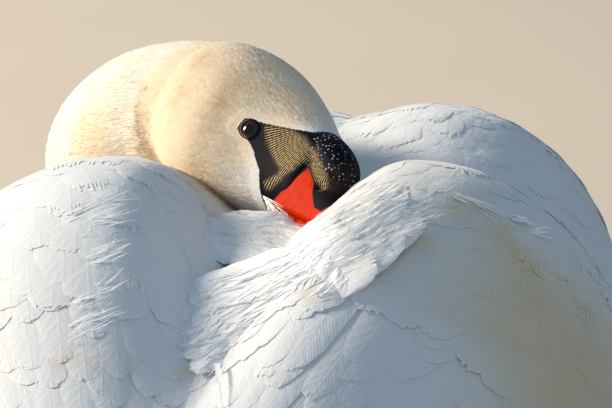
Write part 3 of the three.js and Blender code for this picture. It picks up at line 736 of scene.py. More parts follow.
@dataclass(frozen=True)
class Wing:
    """One folded wing: its outer line over the crest, and the flat inner side under it."""

    side: Side
    crest_share: float = 0.26       # where the crest and the widest line lie on the outer line
    wide_share: float = 0.78
    crest_ease: float = 1.35        # power of the rise from the inner edge to the crest
    drop: float = 5.0               # how far the neck presses the left crest down
    midline: float = 0.5            # least x, which keeps the two wings apart
    cap: float = 0.09               # share of the length over which the front end rounds in
    cap_depth: float = 20.0         # how far inside and below the middle of a section it does so
    slack: tuple[float, float] = (2.0, 6.0)     # inside the inner edge and behind the front end, for covers
    table: tuple[int, int] = (600, 400)
    inner_depth: Rows = ((-270, 20), (-100, 24), (120, 22), (220, 12), (300, 5))    # y, depth of the hollow

    def values(self, y: Array) -> Array:
        """The section's measures, with the left crest pressed down by the neck.

        Args:
            y: Places along the wing.

        Returns:
            The columns of WING_ROWS after the first, as the first axis.
        """
        rows = np.asarray(WING_ROWS, float)
        values = through(WING_ROWS, y)
        if self.side is Side.LEFT:
            t = (y - rows[0, 0]) / (rows[-1, 0] - rows[0, 0])
            values[..., 3] -= self.drop * np.sin(np.pi * np.clip(t, 0, 1))
        return np.moveaxis(values, -1, 0)

    def _rise(self, inner_z: Array, crest_z: Array, share: Array) -> Array:
        """The height of the outer line at a share of the way from the inner edge to the crest."""
        return mix(inner_z, crest_z, np.sin(share * math.pi / 2) ** self.crest_ease)

    def outer(self, y: Array, v: Array) -> Array:
        """Points of the outer line.

        Up to the crest z eases as a power of a sine, then a superellipse goes down to the widest line, and a
        quarter ellipse turns in to the lower edge.

        Args:
            y: Places along the wing.
            v: Shares of the outer line, from 0 at the inner edge over the crest to 1 at the lower edge.

        Returns:
            Plan points.
        """
        inner_x, inner_z, crest_x, crest_z, wide_x, wide_z, low_x, low_z, power = self.values(y)
        t = np.clip(v / self.crest_share, 0, 1)
        a = np.clip((v - self.crest_share) / (self.wide_share - self.crest_share), 0, 1) * math.pi / 2
        c = np.clip((v - self.wide_share) / (1 - self.wide_share), 0, 1) * math.pi / 2
        up = (mix(inner_x, crest_x, t), self._rise(inner_z, crest_z, t))
        over = (mix(crest_x, wide_x, np.sin(a) ** (2 / power)),
                mix(wide_z, crest_z, np.maximum(np.cos(a), 0) ** (2 / power)))
        under = (mix(low_x, wide_x, np.cos(c)), mix(wide_z, low_z, np.sin(c)))
        pick = [v < self.crest_share, v < self.wide_share]
        x = np.select(pick, [up[0], over[0]], under[0])
        z = np.select(pick, [up[1], over[1]], under[1])
        x = np.maximum(x, self.midline) * self.side.value
        return np.stack([x, np.broadcast_to(y, x.shape), z], -1)

    def patch(self) -> Patch:
        """The table that the wing's feathers lie along, rounded in at its front end as the solid is."""
        rows, cols = self.table
        at = np.linspace(0, 1, rows)
        y = mix(WING_ROWS[0][0], WING_ROWS[-1][0], at)[:, None]
        table = self.outer(y, np.linspace(0, 1, cols)[None, :])
        inward = np.maximum(0, 1 - at / self.cap)
        share = np.sqrt(np.maximum(1 - inward ** 2, 0.01))[:, None, None]
        centre = table.mean(1, keepdims=True) - self.cap_depth * np.array([self.side.value, 0, 1])
        table = centre + (table - centre) * share
        return Patch(evened(table, cols, False), False)

    def shell(self, patch: Patch, inset: float) -> Sheet:
        """A closed shell under the feathers: the outer line drawn in, and a deep inner side.

        Args:
            patch: The wing's own table.
            inset: How far the outer line is drawn in along its normals, in millimetres.

        Returns:
            The shell.
        """
        a, b = np.meshgrid(np.linspace(0.0, 1, 90), np.linspace(0, 1, 60), indexing="ij")
        point, _, _, normal = patch.read(a, b)
        outer = point - normal * inset
        depth = through(self.inner_depth, outer[:, 0, 1])[:, 0] + inset
        share = np.linspace(0, 1, 14)[None, 1:-1, None]
        inner = outer[:, -1:] + (outer[:, :1] - outer[:, -1:]) * share
        sunk = np.stack([-depth * self.side.value, np.zeros_like(depth), -depth], -1)[:, None, :]
        return closed_tube(np.concatenate([outer, inner + sunk * np.sin(math.pi * share) ** 0.3], 1))

    def covers(self, points: Array, margin: float) -> Array:
        """Whether points lie under the wing's outer line.

        Args:
            points: Plan points.
            margin: How deep under it they have to be, in millimetres.

        Returns:
            A mask.
        """
        x, y, z = points[..., 0] * self.side.value, points[..., 1], points[..., 2]
        inner_x, inner_z, crest_x, crest_z, wide_x, wide_z, low_x, low_z, power = self.values(y)
        t = np.clip((x - inner_x) / np.maximum(crest_x - inner_x, 1e-3), 0, 1)
        rise = self._rise(inner_z, crest_z, t)
        reach = np.clip((x - crest_x) / np.maximum(wide_x - crest_x, 1e-3), 0, 1)
        roof = np.where(x < crest_x, rise, mix(wide_z, crest_z, (1 - reach ** power) ** (1 / power)))
        down = np.clip((wide_z - z) / (wide_z - low_z), 0, 1)
        wall = mix(low_x, wide_x, np.sqrt(1 - down ** 2))
        upper = (z >= wide_z) & (z < roof - margin) & (x < wide_x - margin)
        lower = (z < wide_z) & (z > low_z + margin) & (x < wall - margin)
        start, end = WING_ROWS[0][0] + self.slack[1], WING_ROWS[-1][0]
        return (upper | lower) & (x > inner_x - self.slack[0]) & (y > start) & (y < end)


@dataclass(frozen=True)
class Skull:
    """The head behind the bill, as superellipse sections along f, and the knob over the bill's base."""

    waist: float = 0.44         # height of the widest line as a share of the section
    power: float = 2.15
    cap_in: float = 0.16        # shares of the length over which its two ends round in
    cap_out: float = 0.08
    knob: tuple[float, ...] = (44.0, 1.5, 23.0, 9.4, 10.5)   # f, u and its three radii
    knob_dip: float = math.radians(18.0)

    def rings(self, rows: int, around: int) -> Array:
        """Sections from the nape to the base of the bill.

        Args:
            rows: Number of sections.
            around: Points in each.

        Returns:
            Plan points by section.
        """
        at = np.linspace(0, 1, rows)
        f = mix(HEAD_ROWS[0][0], HEAD_ROWS[-1][0], at)
        width, top, bottom = through(HEAD_ROWS, f)[:, None, :].transpose(2, 0, 1)
        angle = circle(around)
        s, u = ring(angle, width, top, bottom, self.waist, self.power)
        return rounded(HEAD.point(f[:, None], u, s), at, self.cap_in, self.cap_out)

    def knob_sheet(self) -> Sheet:
        """The knob as an ellipsoid that dips towards the bill."""
        f, u, radius_f, radius_u, radius_s = self.knob
        turn, rise = np.meshgrid(circle(48), np.linspace(0.03, math.pi - 0.03, 30))
        ahead, up = radius_f * np.cos(rise), radius_u * np.sin(rise) * np.cos(turn)
        cos, sin = math.cos(self.knob_dip), math.sin(self.knob_dip)
        return closed_tube(HEAD.point(f + ahead * cos + up * sin, u + up * cos - ahead * sin,
                                      radius_s * np.sin(rise) * np.sin(turn)))

    def knob_depth(self, f: Array, u: Array, s: Array) -> Array:
        """How far out of the knob's centre points lie: 1 on its surface.

        Args:
            f, u, s: Head coordinates.

        Returns:
            The distances as shares of the knob's reach.
        """
        middle_f, middle_u, radius_f, radius_u, radius_s = self.knob
        cos, sin = math.cos(self.knob_dip), math.sin(self.knob_dip)
        ahead = (f - middle_f) * cos - (u - middle_u) * sin
        up = (f - middle_f) * sin + (u - middle_u) * cos
        return np.sqrt((ahead / radius_f) ** 2 + (up / radius_u) ** 2 + (s / radius_s) ** 2)

    def side_of(self, f: Array, u: Array) -> Array:
        """The half width of the skull.

        Args:
            f, u: Head coordinates, of one shape.

        Returns:
            The half widths, 0 above and below the skull.
        """
        width, top, bottom = np.moveaxis(through(HEAD_ROWS, f), -1, 0)
        middle, half = halves(top, bottom, self.waist, u)
        reach = np.abs((u - middle) / half)
        return width * np.maximum(1 - reach ** self.power, 0) ** (1 / self.power)

    def table(self) -> Array:
        """The points that the head's feathers lie along, from the bill to the nape."""
        return evened(self.rings(300, 240), 240, True)[::-1]

    def distance(self, points: Array) -> Array:
        """Roughly how far points lie outside the skull: its norm less 1, times its reach that way.

        The norm joins the p-norm of the section and the way into the round rear end by the root of their
        squares. In front of the skull the way ahead is joined in the same way.

        Args:
            points: Plan points.

        Returns:
            The distances, negative inside.
        """
        f, u, s = np.moveaxis(HEAD.coords(points), -1, 0)
        width, top, bottom = np.moveaxis(through(HEAD_ROWS, f), -1, 0)
        start, end = HEAD_ROWS[0][0], HEAD_ROWS[-1][0]
        cap = (end - start) * self.cap_in
        inward = np.maximum(1 - (f - start) / cap, 0)
        middle, reach = halves(top, bottom, self.waist, u)
        section = (np.abs(s / width) ** self.power
                   + np.abs((u - middle) / reach) ** self.power) ** (1 / self.power)
        norm = np.maximum(np.hypot(section, inward), 1e-3)
        slope = np.maximum(np.hypot(section / np.minimum(width, reach), inward / cap), 1e-5)
        gap = (norm - 1) * norm / slope
        ahead = np.maximum(f - end, 0)
        return np.where(ahead > 0, np.hypot(ahead, np.maximum(gap, 0)), gap)

    def holds(self, points: Array, margin: float) -> Array:
        """Whether points lie inside the skull.

        Args:
            points: Plan points.
            margin: How deep inside they have to be, in millimetres.

        Returns:
            A mask.
        """
        f, u, s = np.moveaxis(HEAD.coords(points), -1, 0)
        inside = in_section(s, u, through(HEAD_ROWS, f), self.waist, self.power, margin)
        return inside & (f > HEAD_ROWS[0][0]) & (f < HEAD_ROWS[-1][0])


class Neck:
    """The neck: a round tube along a centripetal Catmull-Rom curve."""

    def __init__(self, samples: int = 400) -> None:
        """Works out the centreline, its radius and a frame that turns with it as little as it can.

        Args:
            samples: Points of the centreline.
        """
        route = np.asarray(NECK_ROUTE, float)
        self.at = np.linspace(0, 1, samples)
        self.centre = self._curve(route[:, :3], self.at)
        knots = np.linspace(0, 1, len(route))
        self.radius = through(np.stack([knots, route[:, 3]], -1), self.at)[:, 0]
        tangent = unit(np.gradient(self.centre, axis=0))
        side = UP
        sides = []
        for direction in tangent:
            side = unit(side - direction * side.dot(direction))
            sides.append(side)
        self.side = np.stack(sides)
        self.other = np.cross(tangent, self.side)

    @staticmethod
    def _curve(points: Array, at: Array) -> Array:
        """Centripetal Catmull-Rom: cubics whose end slopes weigh the roots of the three nearest spans.

        Args:
            points: Points that the curve goes through.
            at: Shares of the way along them.

        Returns:
            Points of the curve.
        """
        count = len(points)
        spot = np.clip(at, 0, 1) * (count - 1)
        i = np.minimum(spot.astype(int), count - 2)
        weight = (spot - i)[:, None]
        p1, p2 = points[i], points[i + 1]
        p0 = np.where((i > 0)[:, None], points[np.maximum(i - 1, 0)], 2 * points[0] - points[1])
        after = points[np.minimum(i + 2, count - 1)]
        p3 = np.where((i < count - 2)[:, None], after, 2 * points[-1] - points[-2])
        d0, d1, d2 = (np.sqrt(np.linalg.norm(q - p, axis=1, keepdims=True))
                      for p, q in ((p0, p1), (p1, p2), (p2, p3)))
        t1 = ((p1 - p0) / d0 - (p2 - p0) / (d0 + d1) + (p2 - p1) / d1) * d1
        t2 = ((p2 - p1) / d1 - (p3 - p1) / (d1 + d2) + (p3 - p2) / d2) * d1
        c2, c3 = -3 * p1 + 3 * p2 - 2 * t1 - t2, 2 * p1 - 2 * p2 + t1 + t2
        return p1 + t1 * weight + c2 * weight ** 2 + c3 * weight ** 3

    def rings(self, around: int = 120) -> Array:
        """Sections from the nape to the breast.

        Args:
            around: Points in each.

        Returns:
            Plan points by section.
        """
        angle = circle(around)[None, :, None]
        reach = np.sin(angle) * self.other[:, None] + np.cos(angle) * self.side[:, None]
        return self.centre[:, None] + self.radius[:, None, None] * reach

    def distance(self, points: Array) -> Array:
        """How far points lie outside the balls along the neck's centreline.

        Args:
            points: Plan points.

        Returns:
            The distances, negative inside.
        """
        flat = points.reshape(-1, 3)
        gap = np.full(len(flat), FAR)
        for centre, radius in zip(self.centre[::8], self.radius[::8]):
            gap = np.minimum(gap, np.linalg.norm(flat - centre, axis=-1) - radius)
        return gap.reshape(points.shape[:-1])

    def holds(self, points: Array, margin: float) -> Array:
        """Whether points lie inside the neck by more than a margin."""
        return self.distance(points) < -margin


NECK = Neck()


@dataclass(frozen=True)
class Nape:
    """The soft plumage that fills the crease between head and neck: a smooth union of the two.

    With a and b the distances to head and neck, the union's distance is min(a, b) - k h^2 / 4, where
    h = max(1 - |a - b| / k, 0), and k grows with the angle between the two surfaces.
    """

    fill: float = 34.0          # the most that k is, in millimetres
    opens: tuple[float, float] = (0.05, 0.9)    # 1 - cos of the angle at which k starts and is full
    deepest: float = -13.0      # how deep inside head or neck a point may lie and still move
    rounds: int = 3

    @staticmethod
    def _slope(distance: Field, points: Array) -> Array:
        """The direction in which a distance grows fastest, by central differences of 2 mm."""
        steps = np.eye(3)
        return unit(np.stack([distance(points + step) - distance(points - step) for step in steps], -1))

    def settle(self, table: Array, skull: Skull, ends: tuple[float, float]) -> Array:
        """A table of points moved out along its normals onto the union.

        Args:
            table: Rows of points along the head or the neck.
            skull: The head.
            ends: Shares of the table at its start and its end over which the move fades in.

        Returns:
            The new table.
        """
        normal = Patch(table, True).table[:, :-1, 9:12]
        facing = (self._slope(skull.distance, table) * self._slope(NECK.distance, table)).sum(-1)
        at = np.linspace(0, 1, len(table))[:, None]
        fill = self.fill * smooth(*self.opens, 1 - facing)
        fill = np.maximum(fill * smooth(0.0, ends[0], at) * smooth(0.0, ends[1], 1 - at), 1e-3)
        moved = table.copy()
        for _ in range(self.rounds):
            head, neck = skull.distance(moved), NECK.distance(moved)
            near = np.minimum(head, neck)
            overlap = np.maximum(1 - np.abs(head - neck) / fill, 0)
            push = np.maximum(fill * overlap ** 2 / 4 - near, 0) * (near > self.deepest)
            moved += normal * (push * (fill > 0.1))[..., None]
        return moved


@dataclass(frozen=True)
class Tail:
    """The tail as a flat rounded fan."""

    tip: float = 14.0           # how far it runs on past its last row
    droop: float = 0.12         # how far it drops for each millimetre out from its middle
    power: float = 2.2
    caps: tuple[float, float] = (0.05, 0.3)

    def rings(self, rows: int, around: int, inset: float) -> Array:
        """Sections from the rump to the tip.

        Args:
            rows: Number of sections.
            around: Points in each.
            inset: How far they are drawn in, in millimetres.

        Returns:
            Plan points by section.
        """
        at = np.linspace(0, 1, rows)
        y = mix(TAIL_ROWS[0][0], TAIL_ROWS[-1][0] + self.tip - inset, at)
        width, top, bottom = through(TAIL_ROWS, y)[:, None, :].transpose(2, 0, 1)
        angle = circle(around)
        thick = np.minimum(inset, (top - bottom) * 0.3)
        x, z = ring(angle, width - inset, top - thick, bottom + thick, 0.5, self.power)
        points = np.stack([x, np.broadcast_to(y[:, None], x.shape), z - self.droop * np.abs(x)], -1)
        return rounded(points, at, *self.caps)


@dataclass(frozen=True)
class WingTip:
    """The long feathers at the end of a folded wing, which lean against the rump."""

    side: Side
    lean: tuple[float, float] = (62.0, 20.0)    # turn about y at its two ends, in degrees
    caps: tuple[float, float] = (0.1, 0.12)

    def rings(self, rows: int, around: int, inset: float) -> Array:
        """Sections from under the wing to the tip.

        Args:
            rows: Number of sections.
            around: Points in each.
            inset: How far they are drawn in, in millimetres.

        Returns:
            Plan points by section.
        """
        at = np.linspace(0, 1, rows)
        y = mix(TIP_ROWS[0][0], TIP_ROWS[-1][0], at)
        x, z, width, thick = through(TIP_ROWS, y)[:, None, :].transpose(2, 0, 1)
        angle = circle(around)
        half = np.maximum(thick - inset, 0.5)
        across, up = ring(angle, np.maximum(width - inset, 1), half, -half, 0.5, 2.0)
        lean = np.radians(mix(*self.lean, at))[:, None]
        points = np.stack([(x + across * np.cos(lean) + up * np.sin(lean)) * self.side.value,
                           np.broadcast_to(y[:, None], across.shape),
                           z - across * np.sin(lean) + up * np.cos(lean)], -1)
        return rounded(points, at, *self.caps)


@dataclass(frozen=True)
class Eyelid:
    """The lids of one eye: a raised rim round an almond opening, which dips to the eyeball inside it."""

    side: Side
    place: tuple[float, float] = (1.8, -0.8)    # f and u of the middle of the opening
    ball: float = 7.2
    sunk: float = 5.9                           # how far the ball's centre lies under the opening
    long: float = 4.7                           # half the opening's length and height
    high: float = 4.0
    skirt: float = 2.6                          # how far the lids spread over the skin
    height: float = 0.6
    lean: float = math.radians(-12.0)           # the opening's turn in the plane of the skin

    def axes(self, skull: Skull) -> tuple[Array, Array, Array, Array]:
        """Where the eye stands and how it is turned.

        Args:
            skull: The head.

        Returns:
            The ball's centre, and the directions along the opening, across it and out of the head.
        """
        sign = -self.side.value

        def spot(f: float, u: float) -> Array:
            """The point of the skull's surface at f and u on the eye's side."""
            return HEAD.point(np.array(f), np.array(u), sign * skull.side_of(np.array(f), np.array(u)))

        f, u = self.place
        out = unit(np.cross(spot(f + 2, u) - spot(f - 2, u), spot(f, u + 2) - spot(f, u - 2)))
        out = out * np.sign(out.dot(HEAD.axes()[2]) * sign)
        across = unit(HEAD.axes()[0] - out * out.dot(HEAD.axes()[0]))
        up = np.cross(out, across)
        up = up * np.sign(up.dot(HEAD.axes()[1]))
        cos, sin = math.cos(self.lean), math.sin(self.lean)
        return spot(f, u) - out * self.sunk, across * cos + up * sin, up * cos - across * sin, out

    def sheet(self, skull: Skull, face_marks_and_light: "FaceMarksAndLight", stains_and_light: "StainAndLightField") -> Sheet:
        """Rings round the opening, from under the skin up a soft slope to the rim, then down to the ball.

        A ring at share r of the skirt is an ellipse on the skull with the half axes long + r skirt and
        high + 0.9 r skirt, and it is raised by its lift times the height.

        Args:
            skull: The head.
            face_marks_and_light: The bare face's marks and painted light.
            stains_and_light: The field of stains and painted light.

        Returns:
            The lids.
        """
        centre, across, up, out = self.axes(skull)
        around = 72
        turn = circle(around)[None, :, None]
        share, lift = np.array(LID_RINGS).T[..., None, None]
        reach_a = self.long + self.skirt * share
        reach_b = self.high + self.skirt * share * 0.9
        fold = 1 + 0.06 * np.sin(turn * 2 + 0.6) * (share > 0.2)
        flat = centre + out * self.sunk
        flat = flat + fold * (np.cos(turn) * reach_a * across + np.sin(turn) * reach_b * up)
        f, u, _ = np.moveaxis(HEAD.coords(flat), -1, 0)
        on_skull = HEAD.point(f, u, -self.side.value * skull.side_of(f, u))
        points = on_skull + out * (lift * self.height)
        sheet = face_marks_and_light.paint(Sheet(points.reshape(-1, 3), [grid_faces(len(share), around, True)]), skull)
        f, u, _ = HEAD.coords(sheet.points).T
        far = share.repeat(around, 1).ravel()
        sheet.with_value("Bare", np.maximum(line_distance(FEATHER_LINE, f, u), 0.8 - 2.2 * far))
        lower = np.broadcast_to(np.cos(turn + math.radians(140)), (len(share), around, 1)).ravel()
        rim = smooth(-0.2, 0.5, lower) * smooth(0.16, 0.04, np.abs(far - 0.02))
        sheet.with_value("Rim", rim * 0.45).with_value("Stain", stains_and_light.stain(sheet.points))
        sheet.with_value("Gold", 0.0).with_value("Pebble", 0.0)
        sheet.finish = 1
        return sheet


@dataclass(frozen=True)
class Foot:
    """One leg and webbed foot, laid flat beside the belly."""

    side: Side
    heel: Triple = (92.0, 136.0, 15.0)
    joint: Triple = (104.0, 36.0, 12.0)
    shank: tuple[float, float] = (8.5, 11.0)      # half width and half thickness
    web_height: float = 2.8
    web_reach: float = 0.9                        # share of its toes' length at which a web ends
    bay: float = 0.78                             # and in the middle between them
    claw_length: float = 15.0
    claw_radius: float = 3.2

    def _mirror(self, sheet: Sheet) -> Sheet:
        """Puts a sheet on the foot's own side and lets it rest on the floor.

        Args:
            sheet: The sheet, built on the left.

        Returns:
            The same sheet.
        """
        sheet.points[:, 2] = np.maximum(sheet.points[:, 2], 0.0)
        if self.side is Side.RIGHT:
            sheet.points[:, 0] *= -1
            sheet.faces = [faces[:, ::-1] for faces in sheet.faces]
        return sheet

    @staticmethod
    def _ahead(turn: float) -> Array:
        """The level direction of a toe that is turned out by some degrees."""
        return np.array([math.sin(math.radians(turn)), -math.cos(math.radians(turn)), 0.0])

    def _toe(self, turn: float, length: float, radius: float, tip: float) -> Sheet:
        """A toe: circles along its line that swell at its joints, r (1 + 0.1 cos 3 turns).

        Args:
            turn: How far it is turned out, in degrees.
            length: Its length.
            radius, tip: Its radius at the joint and at the tip.

        Returns:
            The toe.
        """
        at = np.linspace(0, 1, 60)
        thick = mix(radius, tip, at) * (1 + 0.1 * np.cos(6 * math.pi * at))
        ahead = self._ahead(turn)
        across = np.cross(ahead, UP)
        angle = circle(28)[None, :, None]
        centre = np.array([self.joint[0], self.joint[1], 0.0]) + ahead * (length * at)[:, None]
        centre[:, 2] = thick * 0.8
        reach = np.sin(angle) * across + np.cos(angle) * UP
        tube = centre[:, None] + thick[:, None, None] * reach
        return closed_tube(rounded(tube, at, 0.08, 0.05))

    def _web(self) -> Sheet:
        """The webs: rows fan out from the joint to a front edge that curves in between the toes."""
        toes = np.array([toe[0] for toe in TOES[:3]])
        reach = np.array([toe[1] for toe in TOES[:3]]) * self.web_reach
        turn = np.linspace(toes[0], toes[2], 60)
        gap = np.interp(turn, toes, [0, 1, 2]) % 1
        bay = (1 - self.bay / self.web_reach) * np.sin(math.pi * gap) ** 0.8
        edge = np.interp(turn, toes, reach) * (1 - bay)
        ahead = np.stack([self._ahead(t) for t in turn])
        out = np.linspace(0.02, 1, 40)[:, None, None]
        flat = np.array([self.joint[0], self.joint[1], 0.0]) + ahead * edge[:, None] * out
        fold = self.web_height * (0.8 + 0.25 * np.cos(2 * math.pi * gap))[None, :, None]
        top = flat + UP * fold * np.sqrt(1 - out ** 6 * 0.9)
        loop = np.concatenate([top, (flat + 0.05 * UP)[:, ::-1]], 1)
        return closed_tube(loop)

    def skin(self) -> Sheet:
        """Shank, toes and webs as one mesh."""
        heel, joint = np.array(self.heel), np.array(self.joint)
        at = np.linspace(-0.06, 1, 50)
        along = unit(joint - heel)
        across = unit(np.cross(along, UP))
        up = np.cross(across, along)
        swell = (1 + 0.35 * (2 * np.clip(at, 0, 1) - 1) ** 6)[:, None, None]
        angle = circle(36)[None, :, None]
        tube = (heel + (joint - heel) * at[:, None])[:, None] + swell * (
            np.sin(angle) * across * self.shank[0] + np.cos(angle) * up * self.shank[1])
        parts = [closed_tube(rounded(tube, np.linspace(0, 1, 50), 0.1, 0.08)), self._web()]
        parts += [self._toe(*toe) for toe in TOES]
        foot = remeshed(parts, voxel=1.3, smoothing=3)
        foot.finish = 2
        return self._mirror(foot)

    def claws(self) -> list[Sheet]:
        """A curved cone at each toe's end: its axis falls with the square of the way to its tip."""
        sheets = []
        for turn, length, _, tip in TOES:
            short = 1.0 if length > 40 else 0.5
            at = np.linspace(0, 1, 24)
            ahead = self._ahead(turn)
            across = np.cross(ahead, UP)
            centre = (np.array([self.joint[0], self.joint[1], 0.0])
                      + ahead * (length - 3 + self.claw_length * short * at)[:, None])
            centre[:, 2] = mix(tip * 0.95, 0.9, at ** 1.7)
            thick = (self.claw_radius * short ** 0.5 * (1 - 0.84 * at))[:, None, None]
            angle = circle(20)[None, :, None]
            reach = np.sin(angle) * across * 0.75 + np.cos(angle) * UP
            tube = centre[:, None] + thick * reach
            sheets.append(self._mirror(closed_tube(rounded(tube, at, 0.05, 0.1))))
        return sheets


# ---------------------------------------------------------------- shader language
class Value:
    """A socket in a shader with Python operators, each of which adds a Math node."""

    def __init__(self, shader: "Shader", socket: bpy.types.NodeSocket) -> None:
        """Wraps a socket of a shader."""
        self.shader, self.socket = shader, socket

    def _math(self, operation: str, *terms: "Value | float") -> "Value":
        """The result of one Math node."""
        return self.shader.node("ShaderNodeMath", {"operation": operation}, dict(enumerate(terms)))

    def __add__(self, other: "Value | float") -> "Value":
        """The sum of the value and another."""
        return self._math("ADD", self, other)

    def __radd__(self, other: "Value | float") -> "Value":
        """The sum of another and the value."""
        return self._math("ADD", other, self)

    def __sub__(self, other: "Value | float") -> "Value":
        """The value less another."""
        return self._math("SUBTRACT", self, other)

    def __rsub__(self, other: "Value | float") -> "Value":
        """Another less the value."""
        return self._math("SUBTRACT", other, self)

    def __mul__(self, other: "Value | float") -> "Value":
        """The product of the value and another."""
        return self._math("MULTIPLY", self, other)

    def __rmul__(self, other: "Value | float") -> "Value":
        """The product of another and the value."""
        return self._math("MULTIPLY", other, self)

    def __abs__(self) -> "Value":
        """The value without its sign."""
        return self._math("ABSOLUTE", self)

    def sine(self) -> "Value":
        """The sine of the value in radians."""
        return self._math("SINE", self)

    def step(self, low: float, high: float) -> "Value":
        """A soft step from 0 at low to 1 at high."""
        return self.shader.node("ShaderNodeMapRange", {"interpolation_type": "SMOOTHSTEP"},
                                {"Value": self, "From Min": low, "From Max": high})


class Shader:
    """One material under construction."""

    def __init__(self, name: str) -> None:
        """Starts an empty material with its output node.

        Args:
            name: The material's name.
        """
        self.material = bpy.data.materials.new(name)
        self.material.use_nodes = True
        self.tree = self.material.node_tree
        self.tree.nodes.clear()
        self.end = self.tree.nodes.new("ShaderNodeOutputMaterial")

    def node(self, kind: str, settings: dict, inputs: dict, output: str | int = 0) -> Value:
        """Adds a node.

        Args:
            kind: Its type.
            settings: Its properties, set first.
            inputs: Values or links for its sockets, by name or number.
            output: Which of its outputs is wanted.

        Returns:
            The output as a Value.
        """
        made = self.tree.nodes.new(kind)
        for key, value in settings.items():
            setattr(made, key, value)
        for key, value in inputs.items():
            if isinstance(value, Value):
                self.tree.links.new(value.socket, made.inputs[key])
            else:
                made.inputs[key].default_value = value
        return Value(self, made.outputs[output])

    def attribute(self, name: str) -> Value:
        """One of the piece's own values."""
        return self.node("ShaderNodeAttribute", {"attribute_name": name}, {}, "Fac")

    def place(self) -> Value:
        """The place on the piece in metres."""
        return self.node("ShaderNodeTexCoord", {}, {}, "Object")

    def noise(self, vector: Value, scale: float, detail: float = 2.0, rough: float = 0.5) -> Value:
        """Smooth noise between 0 and 1."""
        return self.node("ShaderNodeTexNoise", {},
                         {"Vector": vector, "Scale": scale, "Detail": detail, "Roughness": rough})

    def blend(self, share: Value | float, low: Value | Colour, high: Value | Colour) -> Value:
        """The colour at a share of the way from low to high."""
        return self.node("ShaderNodeMix", {"data_type": "RGBA"}, {0: share, 6: low, 7: high}, 2)

    def bump(self, height: Value, strength: float, distance: float) -> Value:
        """A normal from a height."""
        return self.node("ShaderNodeBump", {},
                         {"Strength": strength, "Distance": distance, "Height": height})

    def surface(self, thin: float = 0.0, **sockets: Value | Colour | float) -> bpy.types.Material:
        """Ends the material in one Principled shader.

        Args:
            thin: Share of the light that passes through it, as through one feather.
            sockets: Values, links or numbers for its sockets, with _ for a space in their names.

        Returns:
            The material.
        """
        inputs = {key.replace("_", " "): value for key, value in sockets.items()}
        shade = self.node("ShaderNodeBsdfPrincipled", {}, inputs)
        if thin:
            glow = self.node("ShaderNodeBsdfTranslucent", {}, {"Color": sockets["Base_Color"]})
            shade = self.node("ShaderNodeMixShader", {}, {0: thin, 1: shade, 2: glow})
        self.tree.links.new(shade.socket, self.end.inputs["Surface"])
        return self.material


def colour(red: float, green: float, blue: float) -> Colour:
    """An opaque colour."""
    return (red, green, blue, 1.0)


# ---------------------------------------------------------------- finishes
@dataclass(frozen=True)
class Plumage:
    """White plumage that the water has stained cream and tan on the head and neck."""

    white: Colour = colour(0.86, 0.86, 0.85)
    cream: Colour = colour(0.83, 0.70, 0.50)
    tan: Colour = colour(0.60, 0.38, 0.18)
    barb: float = 0.0022      # spacing of the strands of barbs, in metres
    slant: float = 0.9

    def stain_and_light_colour(self, shader: Shader) -> Value:
        """The colour for the piece's own Stain: 0 white, 0.5 cream, 1 tan; in places this tan is painted
        shade or painted warm reflection.

        Args:
            shader: The material.

        Returns:
            The colour.
        """
        stain = shader.attribute("Stain")
        warm = shader.blend(stain.step(0.0, 0.5), self.white, self.cream)
        return shader.blend(stain.step(0.45, 1.05), warm, self.tan)

    def vane(self, name: str = "plumage_vane") -> bpy.types.Material:
        """Feather vanes: strands slant from the shaft to the edge, and run apart here and there.

        Args:
            name: The material's name.

        Returns:
            The material.
        """
        shader = Shader(name)
        uv = shader.node("ShaderNodeUVMap", {"uv_map": "Vane"}, {})
        across = shader.node("ShaderNodeSeparateXYZ", {}, {0: uv}, "X")
        along = Value(shader, across.socket.node.outputs["Y"])
        lean = along - abs(across) * self.slant
        wander = shader.noise(shader.place(), 160.0)
        strand = (lean * (2 * math.pi / self.barb) + wander * 9).sine() * 0.5 + 0.5
        coarse = (lean * (2 * math.pi / (self.barb * 3.7)) + wander * 14).sine() * 0.5 + 0.5
        shaft = 1 - abs(across).step(0.0003, 0.0011)
        height = strand * 0.35 + coarse * 0.7 + shaft * 0.5
        shade = strand * coarse * 0.07 + shader.attribute("Shade") * 0.05
        tone = shader.blend(shade, self.stain_and_light_colour(shader), colour(0.62, 0.60, 0.57))
        return shader.surface(0.32, Base_Color=tone, Roughness=0.62,
                              Normal=shader.bump(height, 0.17, 0.0005), Sheen_Weight=0.25,
                              Sheen_Roughness=0.4, Specular_IOR_Level=0.3)

    def tuft(self) -> bpy.types.Material:
        """The small close feathers of the head and neck."""
        shader = Shader("plumage_tuft")
        fine = shader.noise(shader.place(), 900.0, 3.0)
        patchy = shader.noise(shader.place(), 120.0, 3.0)
        stain = shader.attribute("Stain") + (fine - 0.5) * 0.22 + (patchy - 0.5) * 0.30 \
            + (shader.attribute("Shade") - 0.5) * 0.13
        warm = shader.blend(stain.step(0.0, 0.5), self.white, self.cream)
        tone = shader.blend(stain.step(0.45, 1.1), warm, self.tan)
        return shader.surface(0.30, Base_Color=tone, Roughness=0.75, Sheen_Weight=0.35, Sheen_Roughness=0.5,
                              Specular_IOR_Level=0.2)

    def under(self) -> bpy.types.Material:
        """The down next to the skin."""
        shader = Shader("down_skin")
        fuzz = shader.noise(shader.place(), 700.0, 3.0)
        tone = shader.blend(fuzz * 0.3, self.stain_and_light_colour(shader), colour(0.55, 0.53, 0.50))
        return shader.surface(Base_Color=tone, Roughness=0.9, Normal=shader.bump(fuzz, 0.5, 0.001),
                              Specular_IOR_Level=0.1)


